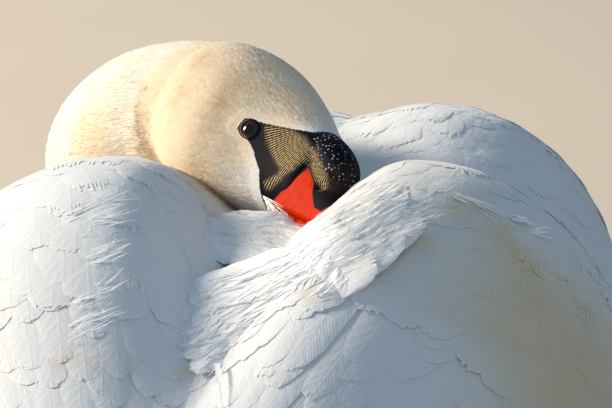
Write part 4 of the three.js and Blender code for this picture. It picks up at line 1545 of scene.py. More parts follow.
@dataclass(frozen=True)
class FaceMarksAndLight:
    """Where the bare face has ridges under a painted warm highlight, painted light on the lower knob, pale
    beads with painted glints, or orange: one field for skin and bill.
    """

    fan: tuple[float, float] = (45.0, 22.0)     # f and u of the point that the ridges spread from
    ridge: float = 0.036                        # angle between two ridges
    beads: float = 2.1                          # length of the beads along a ridge, in millimetres

    def paint(self, sheet: Sheet, skull: Skull) -> Sheet:
        """Gives a sheet the values Ridge and Bead (in turns), Gold, Pebble, Brown and Orange; the middle
        three carry painted highlights and painted light.

        Args:
            sheet: The sheet.
            skull: The head, which has the knob.

        Returns:
            The same sheet.
        """
        f, u, s = HEAD.coords(sheet.points).T
        away_f, away_u = f - self.fan[0], u - self.fan[1]
        gold = inside_distance(RIDGE_HIGHLIGHT_PATCH, f, u)
        on_knob = 1 - smooth(1.05, 1.35, skull.knob_depth(f, u, s))
        sheet.with_value("Ridge", np.arctan2(away_f, -away_u) / self.ridge)
        sheet.with_value("Bead", np.hypot(away_f, away_u) / self.beads)
        # painted highlight: the ridged patch of the lore is coloured warm where light falls on it
        sheet.with_value("Gold", smooth(-1.6, 1.2, gold))
        # pale beads on the upper knob, whose pale colour is partly painted glints
        sheet.with_value("Pebble", on_knob * smooth(-6.0, 0.0, u + 0.35 * (f - 44)) * smooth(27, 37, f))
        # painted light: a dull warm tone on the lower part of the knob, where light falls on it
        sheet.with_value("Brown", smooth(56, 64, f) * smooth(80, 66, f) * smooth(-15, -9, u) * (gold < 0))
        return sheet.with_value("Orange", inside_distance(ORANGE_PATCH, f, u))


@dataclass(frozen=True)
class BareFace:
    """The black bare skin of face and knob, with painted warm highlights on its ridges and lower knob, pale
    beads with painted glints, and the orange bill.
    """

    black: Colour = colour(0.003, 0.003, 0.006)
    # painted highlight: the warm tone of the lore's sunlit ridges
    gold: Colour = colour(0.50, 0.35, 0.16)
    # painted light: the warm tone of the knob's lit lower part
    brown: Colour = colour(0.045, 0.024, 0.013)
    # pale beads with painted glints on the knob
    bead_and_glint: Colour = colour(0.42, 0.42, 0.45)
    rim: Colour = colour(0.55, 0.36, 0.26)
    orange: Colour = colour(0.47, 0.023, 0.001)
    deep: Colour = colour(0.36, 0.009, 0.001)

    def _dark(self, shader: Shader) -> tuple[Value, Value]:
        """The dark skin: ridges broken into beads under a painted warm highlight, painted light on the lower
        knob, and pale beads with painted glints on the knob.

        Args:
            shader: The material.

        Returns:
            Its tone and its height.
        """
        place = shader.place()
        wander = shader.noise(place, 260.0)
        rows = (shader.attribute("Ridge") * (2 * math.pi) + wander * 3.0).sine() * 0.5 + 0.5
        beads = (shader.attribute("Bead") * (2 * math.pi) + wander * 16.0).sine() * 0.5 + 0.5
        broken = (rows + beads * 0.42 + shader.noise(place, 900.0) * 0.3).step(0.80, 1.22)
        # painted highlight on the ridges of the lore
        gold = broken * shader.attribute("Gold")
        cells = shader.node("ShaderNodeTexVoronoi", {"feature": "F1"},
                            {"Vector": place, "Scale": 560.0, "Randomness": 0.8})
        # the beads raise the bump, and their pale colour is partly painted glint
        bead_and_glint = (1 - cells.step(0.12, 0.34)) * shader.attribute("Pebble")
        grain = shader.noise(place, 700.0, 4.0)
        # painted light on the knob's lower part, broken by grain
        tone = shader.blend(shader.attribute("Brown") * grain, self.black, self.brown)
        tone = shader.blend(gold, tone, self.gold)
        tone = shader.blend(bead_and_glint * shader.noise(place, 330.0).step(0.36, 0.52), tone, self.bead_and_glint)
        return tone, rows * shader.attribute("Gold") * 0.8 + bead_and_glint * 1.1 + grain * 0.3

    def skin(self, plumage: Plumage) -> bpy.types.Material:
        """Head skin: stained down behind the feather line, bare in front of it, with a pale lid rim.

        Args:
            plumage: The finish of the down.

        Returns:
            The material.
        """
        shader = Shader("head_skin")
        bare = shader.attribute("Bare").step(-0.5, 0.0)
        tone, height = self._dark(shader)
        tone = shader.blend(shader.attribute("Rim"), tone, self.rim)
        tone = shader.blend(bare, plumage.stain_and_light_colour(shader), tone)
        return shader.surface(Base_Color=tone, Roughness=0.85 - bare * 0.22,
                              Normal=shader.bump(height, 0.6, 0.0005), Specular_IOR_Level=0.035)

    def bill(self) -> bpy.types.Material:
        """The bill: orange with faint streaks along it, and dark skin round its base and nostrils."""
        shader = Shader("bill_horn")
        dark, height = self._dark(shader)
        streak = shader.noise(shader.node("ShaderNodeVectorMath", {"operation": "MULTIPLY"},
                                          {0: shader.place(), 1: (1.0, 1.0, 0.25)}), 420.0, 3.0)
        fine = shader.noise(shader.place(), 1500.0, 2.0)
        orange = shader.blend(streak.step(0.35, 0.75) * 0.7, self.orange, self.deep)
        share = (shader.attribute("Orange") + (fine - 0.5) * 0.8).step(-0.2, 0.2)
        height = height * (1 - share) + (streak * 0.4 + fine * 0.3) * share
        return shader.surface(Base_Color=shader.blend(share, dark, orange), Roughness=0.6,
                              Normal=shader.bump(height, 0.4, 0.0004), Specular_IOR_Level=0.02)


@dataclass(frozen=True)
class ClawHorn:
    """Dark horn of the claws, paler in places."""

    def horn(self) -> bpy.types.Material:
        """Fine streaks in a dull shine."""
        shader = Shader("claw_horn")
        grain = shader.noise(shader.place(), 300.0, 3.0)
        tone = shader.blend(grain, colour(0.02, 0.018, 0.016), colour(0.09, 0.08, 0.07))
        return shader.surface(Base_Color=tone, Roughness=0.35, Normal=shader.bump(grain, 0.3, 0.0003))


@dataclass(frozen=True)
class Eye:
    """A dark brown eye under a clear wet surface."""

    def ball(self) -> bpy.types.Material:
        """Black pupil, brown iris, dark rim, by the angle from the line of sight."""
        shader = Shader("eye_ball")
        gaze = shader.attribute("Gaze")
        fibres = shader.noise(shader.place(), 2600.0, 3.0)
        iris = shader.blend(fibres, colour(0.016, 0.008, 0.005), colour(0.05, 0.022, 0.010))
        tone = shader.blend(gaze.step(0.34, 0.40), colour(0.003, 0.003, 0.003), iris)
        tone = shader.blend(gaze.step(0.82, 1.0), tone, colour(0.008, 0.006, 0.005))
        return shader.surface(Base_Color=tone, Roughness=0.08, Coat_Weight=0.3, Coat_Roughness=0.02,
                              Specular_IOR_Level=0.25)


@dataclass(frozen=True)
class WebSkin:
    """The dark grey skin of the legs and feet, with small plates."""

    def leather(self) -> bpy.types.Material:
        """Plates with darker seams and a dull shine."""
        shader = Shader("foot_leather")
        plates = shader.node("ShaderNodeTexVoronoi", {"feature": "DISTANCE_TO_EDGE"},
                             {"Vector": shader.place(), "Scale": 330.0})
        seam = 1 - plates.step(0.0, 0.12)
        worn = shader.noise(shader.place(), 60.0, 4.0)
        tone = shader.blend(worn, colour(0.022, 0.022, 0.024), colour(0.075, 0.072, 0.070))
        tone = shader.blend(seam * 0.7, tone, colour(0.012, 0.012, 0.013))
        return shader.surface(Base_Color=tone, Roughness=0.55, Normal=shader.bump(1 - seam, 0.6, 0.0005))


# ---------------------------------------------------------------- markings
@dataclass(frozen=True)
class StainAndLightSpot:
    """One soft tan spot, a real stain or a spot of painted shade or painted warm reflection: a centre in the
    plan frame, a reach in millimetres and a strength.
    """

    centre: Triple
    reach: float
    strength: float


@dataclass(frozen=True)
class StainAndLightField:
    """Where the plumage is stained, and where painted shade and painted warm reflection are laid on it as
    tan: one field for the skin and the coat.
    """

    stain_and_light_spots: tuple[StainAndLightSpot, ...]
    rim: float = 0.0            # how strongly painted tan shade darkens the plumage that touches the head
    head_shade_reach: float = 4.0      # and how far from it, in millimetres
    head: float = 0.42          # the stain of the head and of the upper neck
    neck: float = 0.27
    clean_face: float = 0.75    # how much of the head's stain is gone at the face
    head_box: Triple = (-80, 45, 40)        # least f, most |u| and most |s| of a point on the head
    clean_from: tuple[float, float] = (-30, 26)     # f over which the face gets clean
    fades: tuple[float, float] = (0.45, 0.85)       # share of the neck over which its stain ends
    neck_reach: float = 8.0     # how far off the neck it still counts, in millimetres

    def stain(self, points: Array) -> Array:
        """Cream on the head and neck, fading over the breast, tan spots that are real stains, painted shade
        or painted warm reflection, and painted tan shade where the plumage touches the head.

        A spot adds its strength times exp(-(distance / reach)^2).

        Args:
            points: Plan points.

        Returns:
            The stain and painted light at each, from 0 to 1.
        """
        flat = points.reshape(-1, 3)
        gap = np.full(len(flat), FAR)
        share = np.zeros(len(flat))
        for centre, radius, at in zip(NECK.centre[::10], NECK.radius[::10], NECK.at[::10]):
            d = np.linalg.norm(flat - centre, axis=-1) - radius
            share = np.where(d < gap, at, share)
            gap = np.minimum(gap, d)
        f, u, s = HEAD.coords(flat).T
        on_head = (f > self.head_box[0]) & (np.abs(u) < self.head_box[1]) & (np.abs(s) < self.head_box[2])
        on_neck = (1 - smooth(*self.fades, share)) * (gap < self.neck_reach)
        base = np.where(on_head, self.head, self.neck * on_neck)
        base = base * (1 - self.clean_face * smooth(*self.clean_from, f) * on_head)
        for stain_and_light_spot in self.stain_and_light_spots:
            d = np.linalg.norm(flat - np.array(stain_and_light_spot.centre), axis=-1) / stain_and_light_spot.reach
            base = base + stain_and_light_spot.strength * np.exp(-d * d)
        # painted shade: a tan band on plumage next to the head, for the shadow in the crease where they meet
        if self.rim:
            base = base + self.rim * np.exp(-(Skull().distance(flat) / self.head_shade_reach) ** 2)
        return np.clip(base, 0, 1).reshape(points.shape[:-1])


# ---------------------------------------------------------------- vanes
@dataclass(frozen=True)
class VaneShape:
    """The outline of a feather before it is laid: a fan of columns that end in frayed strips.

    Column w from -1 to 1 runs from the root to blunt + (1 - blunt)(1 - |w|^round)^(1/round) of the length,
    and the feather is root wide at its root and full width at the share full.
    """

    columns: int
    rows: tuple[float, ...]
    root: float = 0.35
    full: float = 0.5
    blunt: float = 0.45
    roundness: float = 2.4
    fray: float = 0.07          # how much the strips' ends vary, as a share of the length
    gap: float = 0.2            # how much narrower a strip's end is than its root

    def reach(self, w: Array) -> Array:
        """How far along the feather a column ends."""
        arch = np.maximum(1 - np.abs(w) ** self.roundness, 0) ** (1 / self.roundness)
        return self.blunt + (1 - self.blunt) * arch

    def faces(self) -> Array:
        """Quads of one feather, facing up: the web of columns, then a strip beyond each pair of columns."""
        rows, cols = len(self.rows), self.columns + 1
        web = grid_faces(rows, cols)
        j = np.arange(self.columns)
        base = (rows - 1) * cols
        end = rows * cols
        strips = np.stack([base + j, base + j + 1, end + 2 * j + 1, end + 2 * j], -1)
        return np.concatenate([web, strips])

    def spread(self, count: int, rng: np.random.Generator) -> tuple[Array, Array]:
        """The outlines of many feathers, each frayed its own way.

        Args:
            count: Number of feathers.
            rng: Seeded random numbers.

        Returns:
            Shares across from -1 to 1 and along from 0 to 1, by feather and point.
        """
        w = np.linspace(-1, 1, self.columns + 1)
        tau = np.asarray(self.rows)[:, None]
        rise = smooth(0, self.full, tau)
        web_w = w * mix(self.root, 1, rise)
        web_t = tau * self.reach(w)
        strip = (w[:-1] + w[1:]) / 2
        wide = 1 / self.columns
        fray = 1 - self.fray * rng.random((count, self.columns)) * 1.6
        narrow = wide * (1 - self.gap * rng.random((count, self.columns)) * 1.6)
        drift = (rng.random((count, self.columns)) - 0.5) * wide * self.gap
        tip_w = strip * 0.97 + drift
        ends_w = np.stack([tip_w - narrow, tip_w + narrow], -1).reshape(count, -1)
        ends_t = np.repeat(fray, 2, axis=1) * self.reach(np.clip(ends_w, -1, 1))
        across = np.concatenate([np.broadcast_to(web_w.ravel(), (count, web_w.size)), ends_w], 1)
        along = np.concatenate([np.broadcast_to(web_t.ravel(), (count, web_t.size)), ends_t], 1)
        return across, along


def bake_map(root: Array, flat: Array) -> Array:
    """Places in the bake map, where each feather has a small patch at the place of its root.

    Args:
        root: Places of the roots from 0 to 1, by feather.
        flat: Places in the feathers' patches from -1 to 1, by feather and point.

    Returns:
        A place for each point.
    """
    inside = root * (1 - 2 * BAKE_EDGE) + BAKE_EDGE
    return (inside[:, None] + BAKE_PATCH * flat).reshape(-1, 2)


VANE = VaneShape(columns=9, rows=(0.0, 0.3, 0.58, 0.8))
FINE_VANE = VaneShape(columns=14, rows=(0.0, 0.25, 0.5, 0.7, 0.86), fray=0.03, gap=0.06)
RAGGED = VaneShape(columns=12, rows=(0.0, 0.25, 0.5, 0.72), fray=0.14, gap=0.4, blunt=0.6)
QUILL_VANE = VaneShape(columns=8, rows=(0.0, 0.2, 0.4, 0.6, 0.75, 0.87, 0.95), root=0.3, full=0.22,
                       blunt=0.84, roundness=2.0, fray=0.012, gap=0.1)
HAIR = VaneShape(columns=1, rows=(0.0, 0.35, 0.7), root=1.0, full=0.1, blunt=1.0, fray=0.3, gap=0.5)
TUFT = VaneShape(columns=3, rows=(0.0, 0.5), root=0.6, full=0.4, blunt=0.75, roundness=2.0, fray=0.22,
                 gap=0.6)


@dataclass(frozen=True)
class Tract:
    """A field of like feathers on one surface.

    Sizes are functions of the shares a and b. A row's feathers stand pitch_across of their own width apart,
    rows pitch_along of their length, and each feather strays by up to stray of its pitch.
    """

    shape: VaneShape
    length: Rule
    half_width: Rule
    along: tuple[float, float] = (0.0, 1.0)
    across: tuple[float, float] = (0.0, 1.0)
    lie: Rule = lambda a, b: np.zeros_like(a)
    pitch_along: float = 0.36
    pitch_across: float = 1.1
    stray: float = 0.25
    root_depth: float = 3.0     # millimetres under the surface at the root
    tip_depth: float = 0.3      # and at the tip
    crown: float = 0.05         # how much the edges drop, as a share of the half width
    tilt: float = 0.05          # how much one side lifts over its neighbour, as a share of the half width
    ruffle: float = 0.3         # how much the tips lift unevenly, in millimetres
    tuck: float = 0.5           # how far the ends bend down to the feathers under them, in millimetres
    sway: float = 0.16          # how unevenly the feathers lie, in radians from side to side
    rooted: Field | None = None      # says at which plan points a feather may be rooted
    shallow: Field | None = None     # share of the root depth at a root

    def roots(self, patch: Patch, rng: np.random.Generator) -> tuple[Array, Array]:
        """Places of the feathers' roots, row by row, each row spaced by the width of its feathers.

        Args:
            patch: The surface.
            rng: Seeded random numbers.

        Returns:
            Their shares a and b.
        """
        rows = []
        a = self.along[0]
        b = np.linspace(*self.across, 200)
        number = 0
        while a < self.along[1]:
            here = np.full_like(b, a)
            _, slope_a, slope_b, _ = patch.read(here, b)
            density = np.linalg.norm(slope_b, axis=-1) / (self.pitch_across * self.half_width(here, b))
            total = np.concatenate([[0], np.cumsum((density[1:] + density[:-1]) / 2 * np.diff(b))])
            count = int(total[-1])
            if count:
                place = (np.arange(count) + 0.25 + 0.5 * (number % 2)) / count * total[-1]
                place = place + (rng.random(count) - 0.5) * 2 * self.stray
                stray = (rng.random(count) - 0.5) * 2 * self.stray * self.pitch_along
                spot = np.interp(place, total, b)
                slope = np.linalg.norm(slope_a, axis=-1)
                length = self.length(np.full(count, a), spot)
                rows.append(np.stack([a + stray * length / np.interp(spot, b, slope), spot]))
            step = self.pitch_along * self.length(here, b) / np.linalg.norm(slope_a, axis=-1)
            a += float(np.median(step))
            number += 1
        found = np.concatenate(rows, 1)
        return found[0], found[1]

    def lay(self, patch: Patch, keep: Field, stains_and_light: StainAndLightField, rng: np.random.Generator) -> Sheet:
        """Feathers laid along a surface.

        A feather's points are steps along and across its lie from its root, turned into shares of the
        surface by its slopes there, read from the surface and set off along the normal.

        Args:
            patch: The surface.
            keep: Says which plan points may carry a feather.
            stains_and_light: The field of stains and painted light.
            rng: Seeded random numbers.

        Returns:
            The feathers as one sheet with Stain, Shade, and the maps Vane and OFBake.
        """
        a, b = self.roots(patch, rng)
        length, half = self.length(a, b), self.half_width(a, b)
        point, slope_a, slope_b, normal = patch.read(a, b)
        keep_now = self._showing(patch, a, b, length, slope_a, keep)
        if self.rooted is not None:
            keep_now &= self.rooted(point)
        a, b, length, half, point, slope_a, slope_b, normal = (
            v[keep_now] for v in (a, b, length, half, point, slope_a, slope_b, normal))
        count = len(a)
        length = length * (0.9 + 0.2 * rng.random(count))
        across, along = self.shape.spread(count, rng)
        lie = (self.lie(a, b) + (rng.random(count) - 0.5) * self.sway)[:, None]
        x, y = across * half[:, None], along * length[:, None]
        shift_a, shift_b = self._shares(slope_a, slope_b, y * np.cos(lie) - x * np.sin(lie),
                                        y * np.sin(lie) + x * np.cos(lie))
        base, _, _, up = patch.read(a[:, None] + shift_a, b[:, None] + shift_b)
        points = base + up * self._lift(point, half[:, None], across, along, rng)[..., None]
        each = points.shape[1]
        faces = self.shape.faces()
        if (np.cross(slope_b, unit(slope_a)) * normal).sum(-1).mean() < 0:
            faces = faces[:, ::-1]
        faces = faces[None] + (np.arange(count) * each)[:, None, None]
        sheet = Sheet(points.reshape(-1, 3), [faces.reshape(-1, 4)])
        sheet.with_value("Stain", stains_and_light.stain(sheet.points))
        sheet.with_value("Shade", np.repeat(rng.random(count), each))
        sheet.maps["Vane"] = np.stack([x, y], -1).reshape(-1, 2) * MM
        span_b = self.across[1] - self.across[0]
        span_a = self.along[1] - self.along[0]
        root = np.stack([(b - self.across[0]) / span_b, (a - self.along[0]) / span_a], -1)
        sheet.maps["OFBake"] = bake_map(root, np.stack([across, along * 2 - 1], -1))
        return sheet

    @staticmethod
    def _shares(slope_a: Array, slope_b: Array, step_a: Array, step_b: Array) -> tuple[Array, Array]:
        """Turns steps in millimetres along and square to the surface's run into shares of the surface.

        Args:
            slope_a, slope_b: The surface's slopes at the roots.
            step_a, step_b: The steps, by feather and point.

        Returns:
            The steps in a and b.
        """
        ahead = unit(slope_a)
        skew = (slope_b * ahead).sum(-1)
        size_a = np.linalg.norm(slope_a, axis=-1)
        size_b = np.linalg.norm(slope_b - skew[:, None] * ahead, axis=-1)
        shift_b = step_b / size_b[:, None]
        return (step_a - shift_b * skew[:, None]) / size_a[:, None], shift_b

    def _lift(self, root: Array, half: Array, across: Array, along: Array,
              rng: np.random.Generator) -> Array:
        """How far the feathers' points stand off the surface.

        Args:
            root: Plan points of the roots.
            half: Half widths, as a column.
            across, along: The feathers' outlines as shares.
            rng: Seeded random numbers.

        Returns:
            The heights in millimetres, by feather and point.
        """
        count = len(root)
        tilt = self.tilt * (0.6 + 0.8 * rng.random(count))[:, None]
        depth = self.root_depth * (1 if self.shallow is None else self.shallow(root)[:, None])
        lift = mix(-depth, -self.tip_depth, np.clip(along, 0, 1) ** 0.8)
        lift = lift - self.crown * half * across ** 2 + tilt * half * across
        lift = lift - self.tuck * smooth(0.72, 1.0, along / self.shape.reach(np.clip(across, -1, 1)))
        lift = lift + self.ruffle * (rng.random(count)[:, None] - 0.3) * along ** 2
        return lift + self.ruffle * (rng.random(along.shape) - 0.5) * along ** 4

    @staticmethod
    def _showing(patch: Patch, a: Array, b: Array, length: Array, slope_a: Array, keep: Field) -> Array:
        """Which feathers show anywhere: at the root, the middle or the tip.

        Args:
            patch: The surface.
            a, b: Places of their roots.
            length: Their lengths.
            slope_a: The surface's slopes along at their roots.
            keep: Says which plan points may carry a feather.

        Returns:
            A mask.
        """
        size = np.linalg.norm(slope_a, axis=-1)
        shown = np.zeros(len(a), bool)
        for share in (0.0, 0.5, 1.0):
            spot, _, _, _ = patch.read(a + share * length / size, b)
            shown |= keep(spot)
        return shown


def strands(bends: Array, half_width: Array, outward: Array, stains_and_light: StainAndLightField,
            rng: np.random.Generator) -> Sheet:
    """Single barbs and quills as flat strips that taper to their tips.

    A strip's middle line is (1 - t)^2 root + 2 t (1 - t) bend + t^2 tip. Its half width falls by 0.8 t^2.

    Args:
        bends: Three rows of plan points: the roots, the bends and the tips.
        half_width: Half width of each strip at its root.
        outward: The way that each strip faces.
        stains_and_light: The field of stains and painted light.
        rng: Seeded random numbers.

    Returns:
        The strips as one sheet, with the values and maps that a tract has.
    """
    steps = 9
    count = len(half_width)
    t = np.linspace(0, 1, steps)[None, :, None]
    root, bend, tip = (row[:, None] for row in bends)
    line = root * (1 - t) ** 2 + 2 * bend * t * (1 - t) + tip * t * t
    side = unit(np.cross(outward[:, None], np.gradient(line, axis=1)))
    wide = side * (half_width[:, None, None] * (1 - 0.8 * t * t))
    points = np.stack([line - wide, line + wide], 2)
    faces = grid_faces(steps, 2)[None] + (np.arange(count) * steps * 2)[:, None, None]
    sheet = Sheet(points.reshape(-1, 3), [faces.reshape(-1, 4)])
    sheet.with_value("Stain", np.repeat(stains_and_light.stain(root[:, 0]), steps * 2))
    sheet.with_value("Shade", np.repeat(rng.random(count), steps * 2))
    across, along = np.meshgrid([-1.0, 1.0], np.linspace(0, 1, steps))
    flat = np.stack([across.ravel(), along.ravel() * 2 - 1], -1)[None]
    sheet.maps["Vane"] = np.broadcast_to(flat * MM, (count, steps * 2, 2)).reshape(-1, 2)
    root = np.stack([(np.arange(count) + 0.5) / count, np.full(count, 0.5)], -1)
    sheet.maps["OFBake"] = bake_map(root, flat)
    return sheet


def steady(value: float) -> Rule:
    """A size that is the same all over a tract."""
    return lambda a, b: np.full(np.shape(a), float(value))


def graded(start: float, end: float) -> Rule:
    """A size that changes evenly from the start to the end of a surface."""
    return lambda a, b: mix(start, end, np.asarray(a, float))


# ---------------------------------------------------------------- the swan
@dataclass
class Swan:
    """The whole bird: its skin, coat, bill, eyes and claws."""

    plan: Plan
    plumage: Plumage = Plumage()
    stains_and_light: StainAndLightField = StainAndLightField((
        # tan stains of the head and neck, on this line and the next two
        StainAndLightSpot((47, -55, 295), 12, 0.30), StainAndLightSpot((54, -41, 280), 11, 0.28), StainAndLightSpot((35, -19, 271), 10, 0.26),
        StainAndLightSpot((25, -35, 293), 15, 0.26), StainAndLightSpot((18, -8, 265), 10, 0.22), StainAndLightSpot((105, -85, 243), 16, 0.24),
        StainAndLightSpot((29, -25, 283), 9, 0.20), StainAndLightSpot((70, -55, 270), 12, 0.12), StainAndLightSpot((39, -17, 252), 10, 0.18),
        # painted shade: this line and the next lay tan spots in a row along the crease of the right wing's
        # feathers below the bill, then along the shaded edge of its long tertial
        StainAndLightSpot((-46, 138, 233), 5, 0.40), StainAndLightSpot((-58, 128, 239), 5, 0.44), StainAndLightSpot((-72, 112, 246), 5, 0.40),
        StainAndLightSpot((-88, 98, 250), 6, 0.30), StainAndLightSpot((-97, 66, 258), 9, 0.22), StainAndLightSpot((-118, 67, 248), 9, 0.26),
        # painted warm reflection: the wide spot low on the right wing; the forehead spot after it is partly
        # tan stain and partly painted warm shade
        StainAndLightSpot((-160, 95, 195), 62, 0.52), StainAndLightSpot((-6, -15, 284), 17, 0.34),
        # painted shade: two more spots along the shaded edge of the right wing's long tertial
        StainAndLightSpot((-129, 72, 238), 9, 0.24), StainAndLightSpot((-136, 83, 227), 11, 0.22),
        # a row of tan spots low on the left wing, on this line and the next
        StainAndLightSpot((58, 179, 208), 6, 0.34), StainAndLightSpot((43, 180, 207), 6, 0.34),
        StainAndLightSpot((27, 175, 206), 6, 0.34), StainAndLightSpot((5, 167, 202), 6, 0.36)))
    face_marks_and_light: FaceMarksAndLight = FaceMarksAndLight()
    coat_depth: float = 2.8         # how far the skin lies under the coat
    neck_depth: float = 3.0
    head_depth: float = 1.8
    quill_depth: float = 2.0
    head_cover: float = 2.6         # how far the head's own skin lies over the body's

    def __post_init__(self) -> None:
        """Works out the surfaces that the skin and the coat share."""
        self.trunk, self.skull, self.tail = Trunk(), Skull(), Tail()
        self.wings = {side: Wing(side) for side in Side}
        self.tips = {side: WingTip(side) for side in Side}
        self.wing_patches = {side: wing.patch() for side, wing in self.wings.items()}
        self.vane, self.tuft = self.plumage.vane(), self.plumage.tuft()
        nape = Nape()
        self.head_patch = Patch(nape.settle(self.skull.table(), self.skull, (0.05, 0.02)), True)
        self.neck_patch = Patch(nape.settle(NECK.rings(), self.skull, (0.02, 0.05)), True)

    # ------------------------------------------------------------ what is hidden
    def in_open(self, points: Array, but: Part, margin: float = 3.0) -> Array:
        """Whether plan points lie outside the other parts of the body.

        Args:
            points: Plan points.
            but: The part that they belong to, which isn't tested.
            margin: How deep a point may lie in another part and still count.

        Returns:
            A mask.
        """
        open_air = np.ones(points.shape[:-1], bool)
        if but is not Part.NECK:
            open_air &= ~NECK.holds(points, margin)
        if but is not Part.HEAD:
            open_air &= ~self.skull.holds(points, margin)
        if but not in (Part.WING, Part.REAR):
            for wing in self.wings.values():
                open_air &= ~wing.covers(points, margin)
        if but is Part.NECK:
            open_air &= ~self.trunk.holds(points, margin)
        return open_air

    # ------------------------------------------------------------ skin
    def build_skin(self) -> bpy.types.Object:
        """One skin for all the flesh: the body under its coat, the head with its face, legs and feet.

        Every few points of the fine tables are enough for the body. The head's own finer skin lies over the
        head that joins the body, which starts behind the bare face.

        Returns:
            The piece.
        """
        neck = self.neck_patch.sunk(self.neck_depth)[::4, ::3]
        head = self.head_patch.sunk(self.head_depth + self.head_cover)[60::6, ::6][::-1]
        body = [closed_tube(self.trunk.rings(80, 64, self.coat_depth)), closed_tube(neck), closed_tube(head),
                closed_tube(self.tail.rings(24, 40, self.quill_depth))]
        body += [wing.shell(self.wing_patches[side], self.coat_depth) for side, wing in self.wings.items()]
        body += [closed_tube(tip.rings(24, 20, self.quill_depth)) for tip in self.tips.values()]
        hull = remeshed(body, voxel=3.4, smoothing=2)
        hull.with_value("Stain", self.stains_and_light.stain(hull.points))
        sheets = [hull, self._head_skin()]
        sheets += [Eyelid(side).sheet(self.skull, self.face_marks_and_light, self.stains_and_light) for side in Side]
        sheets += [Foot(side).skin() for side in Side]
        skin = make_object("swan_skin", sheets, self.plan,
                           [self.plumage.under(), BareFace().skin(self.plumage), WebSkin().leather()])
        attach(skin, "root")
        sides = ("left", "right")
        flesh = ["trunk", "tail", "neck_base", "neck_middle", "neck_upper", "head", "face", "knob"]
        paired = ("shoulder", "scapulars", "tertials", "wing", "primaries", "leg", "foot")
        flesh += [f"{part}_{side}" for part in paired for side in sides]
        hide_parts(*flesh)
        return skin

    def _head_skin(self) -> Sheet:
        """The head and knob as one fine mesh, sunk under the feathers and bare in front of them."""
        parts = [closed_tube(self.skull.rings(70, 64)), self.skull.knob_sheet()]
        head = remeshed(parts, voxel=1.0, smoothing=8)
        normal = normals_of(head)
        f, u, _ = HEAD.coords(head.points).T
        bare = line_distance(FEATHER_LINE, f, u)
        head.points = head.points - normal * (self.head_depth * smooth(0.2, 4.0, -bare))[:, None]
        head.with_value("Stain", self.stains_and_light.stain(head.points)).with_value("Bare", bare)
        self.face_marks_and_light.paint(head, self.skull)
        head.finish = 1
        return head

    # ------------------------------------------------------------ coat
    def _coat(self, name: str, tracts: Sequence[tuple[Tract, Patch, Part]], seed: int,
              material: bpy.types.Material, margin: float = 3.0, rim: float = 0.0,
              more: Sequence[Sheet] = ()) -> bpy.types.Object:
        """One piece of the coat from its tracts.

        Args:
            name: The piece's name.
            tracts: Each with its surface and the part of the body that it belongs to.
            seed: Seed of its random numbers.
            material: Its finish.
            margin: How deep its feathers may start in another part.
            rim: How strongly painted tan shade darkens it where it touches the head.
            more: Other sheets of the piece.

        Returns:
            The piece.
        """
        rng = np.random.default_rng(seed)
        stains_and_light = replace(self.stains_and_light, rim=rim)
        sheets = [tract.lay(patch, lambda p, part=part: self.in_open(p, part, margin), stains_and_light, rng)
                  for tract, patch, part in tracts]
        piece = make_object(name, [*sheets, *more], self.plan, [material])
        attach(piece, "root")
        return piece

    def build_head_coat(self) -> None:
        """Close small feathers over the head, which start in a fine fringe along the bare face."""

        def behind(points: Array) -> Array:
            """How far behind the feather line points lie."""
            f, u, _ = np.moveaxis(HEAD.coords(points), -1, 0)
            return -line_distance(FEATHER_LINE, f, u)

        soft = dict(crown=0.05, tilt=0.10, sway=0.3,
                    shallow=lambda p: 0.1 + 0.9 * smooth(0.0, 5.0, behind(p)))
        cover = Tract(TUFT, graded(5.0, 9.5), graded(1.0, 1.6), along=(0.05, 0.95), pitch_along=0.26,
                      pitch_across=1.0, root_depth=1.3, tip_depth=-0.1, ruffle=0.35,
                      rooted=lambda p: behind(p) > 0.3, **soft)
        fringe = Tract(TUFT, steady(3.0), steady(0.48), along=(0.0, 0.62), pitch_along=0.26,
                       pitch_across=0.95, root_depth=0.8, tip_depth=-0.2, ruffle=0.3,
                       rooted=lambda p: (behind(p) > -0.5) & (behind(p) < 2.2), **soft)
        self._coat("plumage_head", [(tract, self.head_patch, Part.HEAD) for tract in (cover, fringe)],
                   Seed.HEAD, self.tuft, margin=9.0, more=[self._chin_hairs()])

    def build_neck_coat(self) -> None:
        """Soft feathers down the neck, growing towards the breast."""
        upper = Tract(TUFT, lambda a, b: mix(9.5, 20.0, smooth(0.1, 0.6, a)),
                      lambda a, b: mix(1.5, 3.6, smooth(0.1, 0.6, a)), along=(0.0, 0.62), pitch_along=0.26,
                      pitch_across=1.0, root_depth=1.8, tip_depth=-0.1, crown=0.05, tilt=0.08, ruffle=0.4,
                      sway=0.3)
        lower = Tract(VANE, graded(14.0, 34.0), graded(4.0, 11.0), along=(0.55, 0.97), pitch_along=0.32,
                      root_depth=2.5, tip_depth=0.0, tilt=0.04, ruffle=0.4)
        self._coat("plumage_neck", [(tract, self.neck_patch, Part.NECK) for tract in (upper, lower)],
                   Seed.NECK, self.tuft, margin=9.0)

    def build_trunk_coat(self) -> None:
        """Feathers of the breast, belly, flanks and rump."""
        patch = self.trunk.patch(1.0)
        tract = Tract(VANE, graded(28.0, 44.0), graded(9.0, 14.0), along=(0.0, 0.97), pitch_along=0.36,
                      pitch_across=1.15, root_depth=2.0, tip_depth=-0.3, crown=0.03, tilt=0.03, ruffle=0.5)
        self._coat("plumage_trunk", [(tract, patch, Part.TRUNK)], Seed.TRUNK, self.vane)

    def build_wing_coat(self, side: Side) -> None:
        """Coverts over the wrist and flank, long quills behind them, and loose ragged feathers on top.

        Args:
            side: Which wing.
        """
        patch = self.wing_patches[side]
        name = side.name.lower()

        def sizes(small: float, large: float) -> Rule:
            """Small over the wrist, larger to the rear."""
            return lambda a, b: mix(small, large, smooth(0.08, 0.5, a))

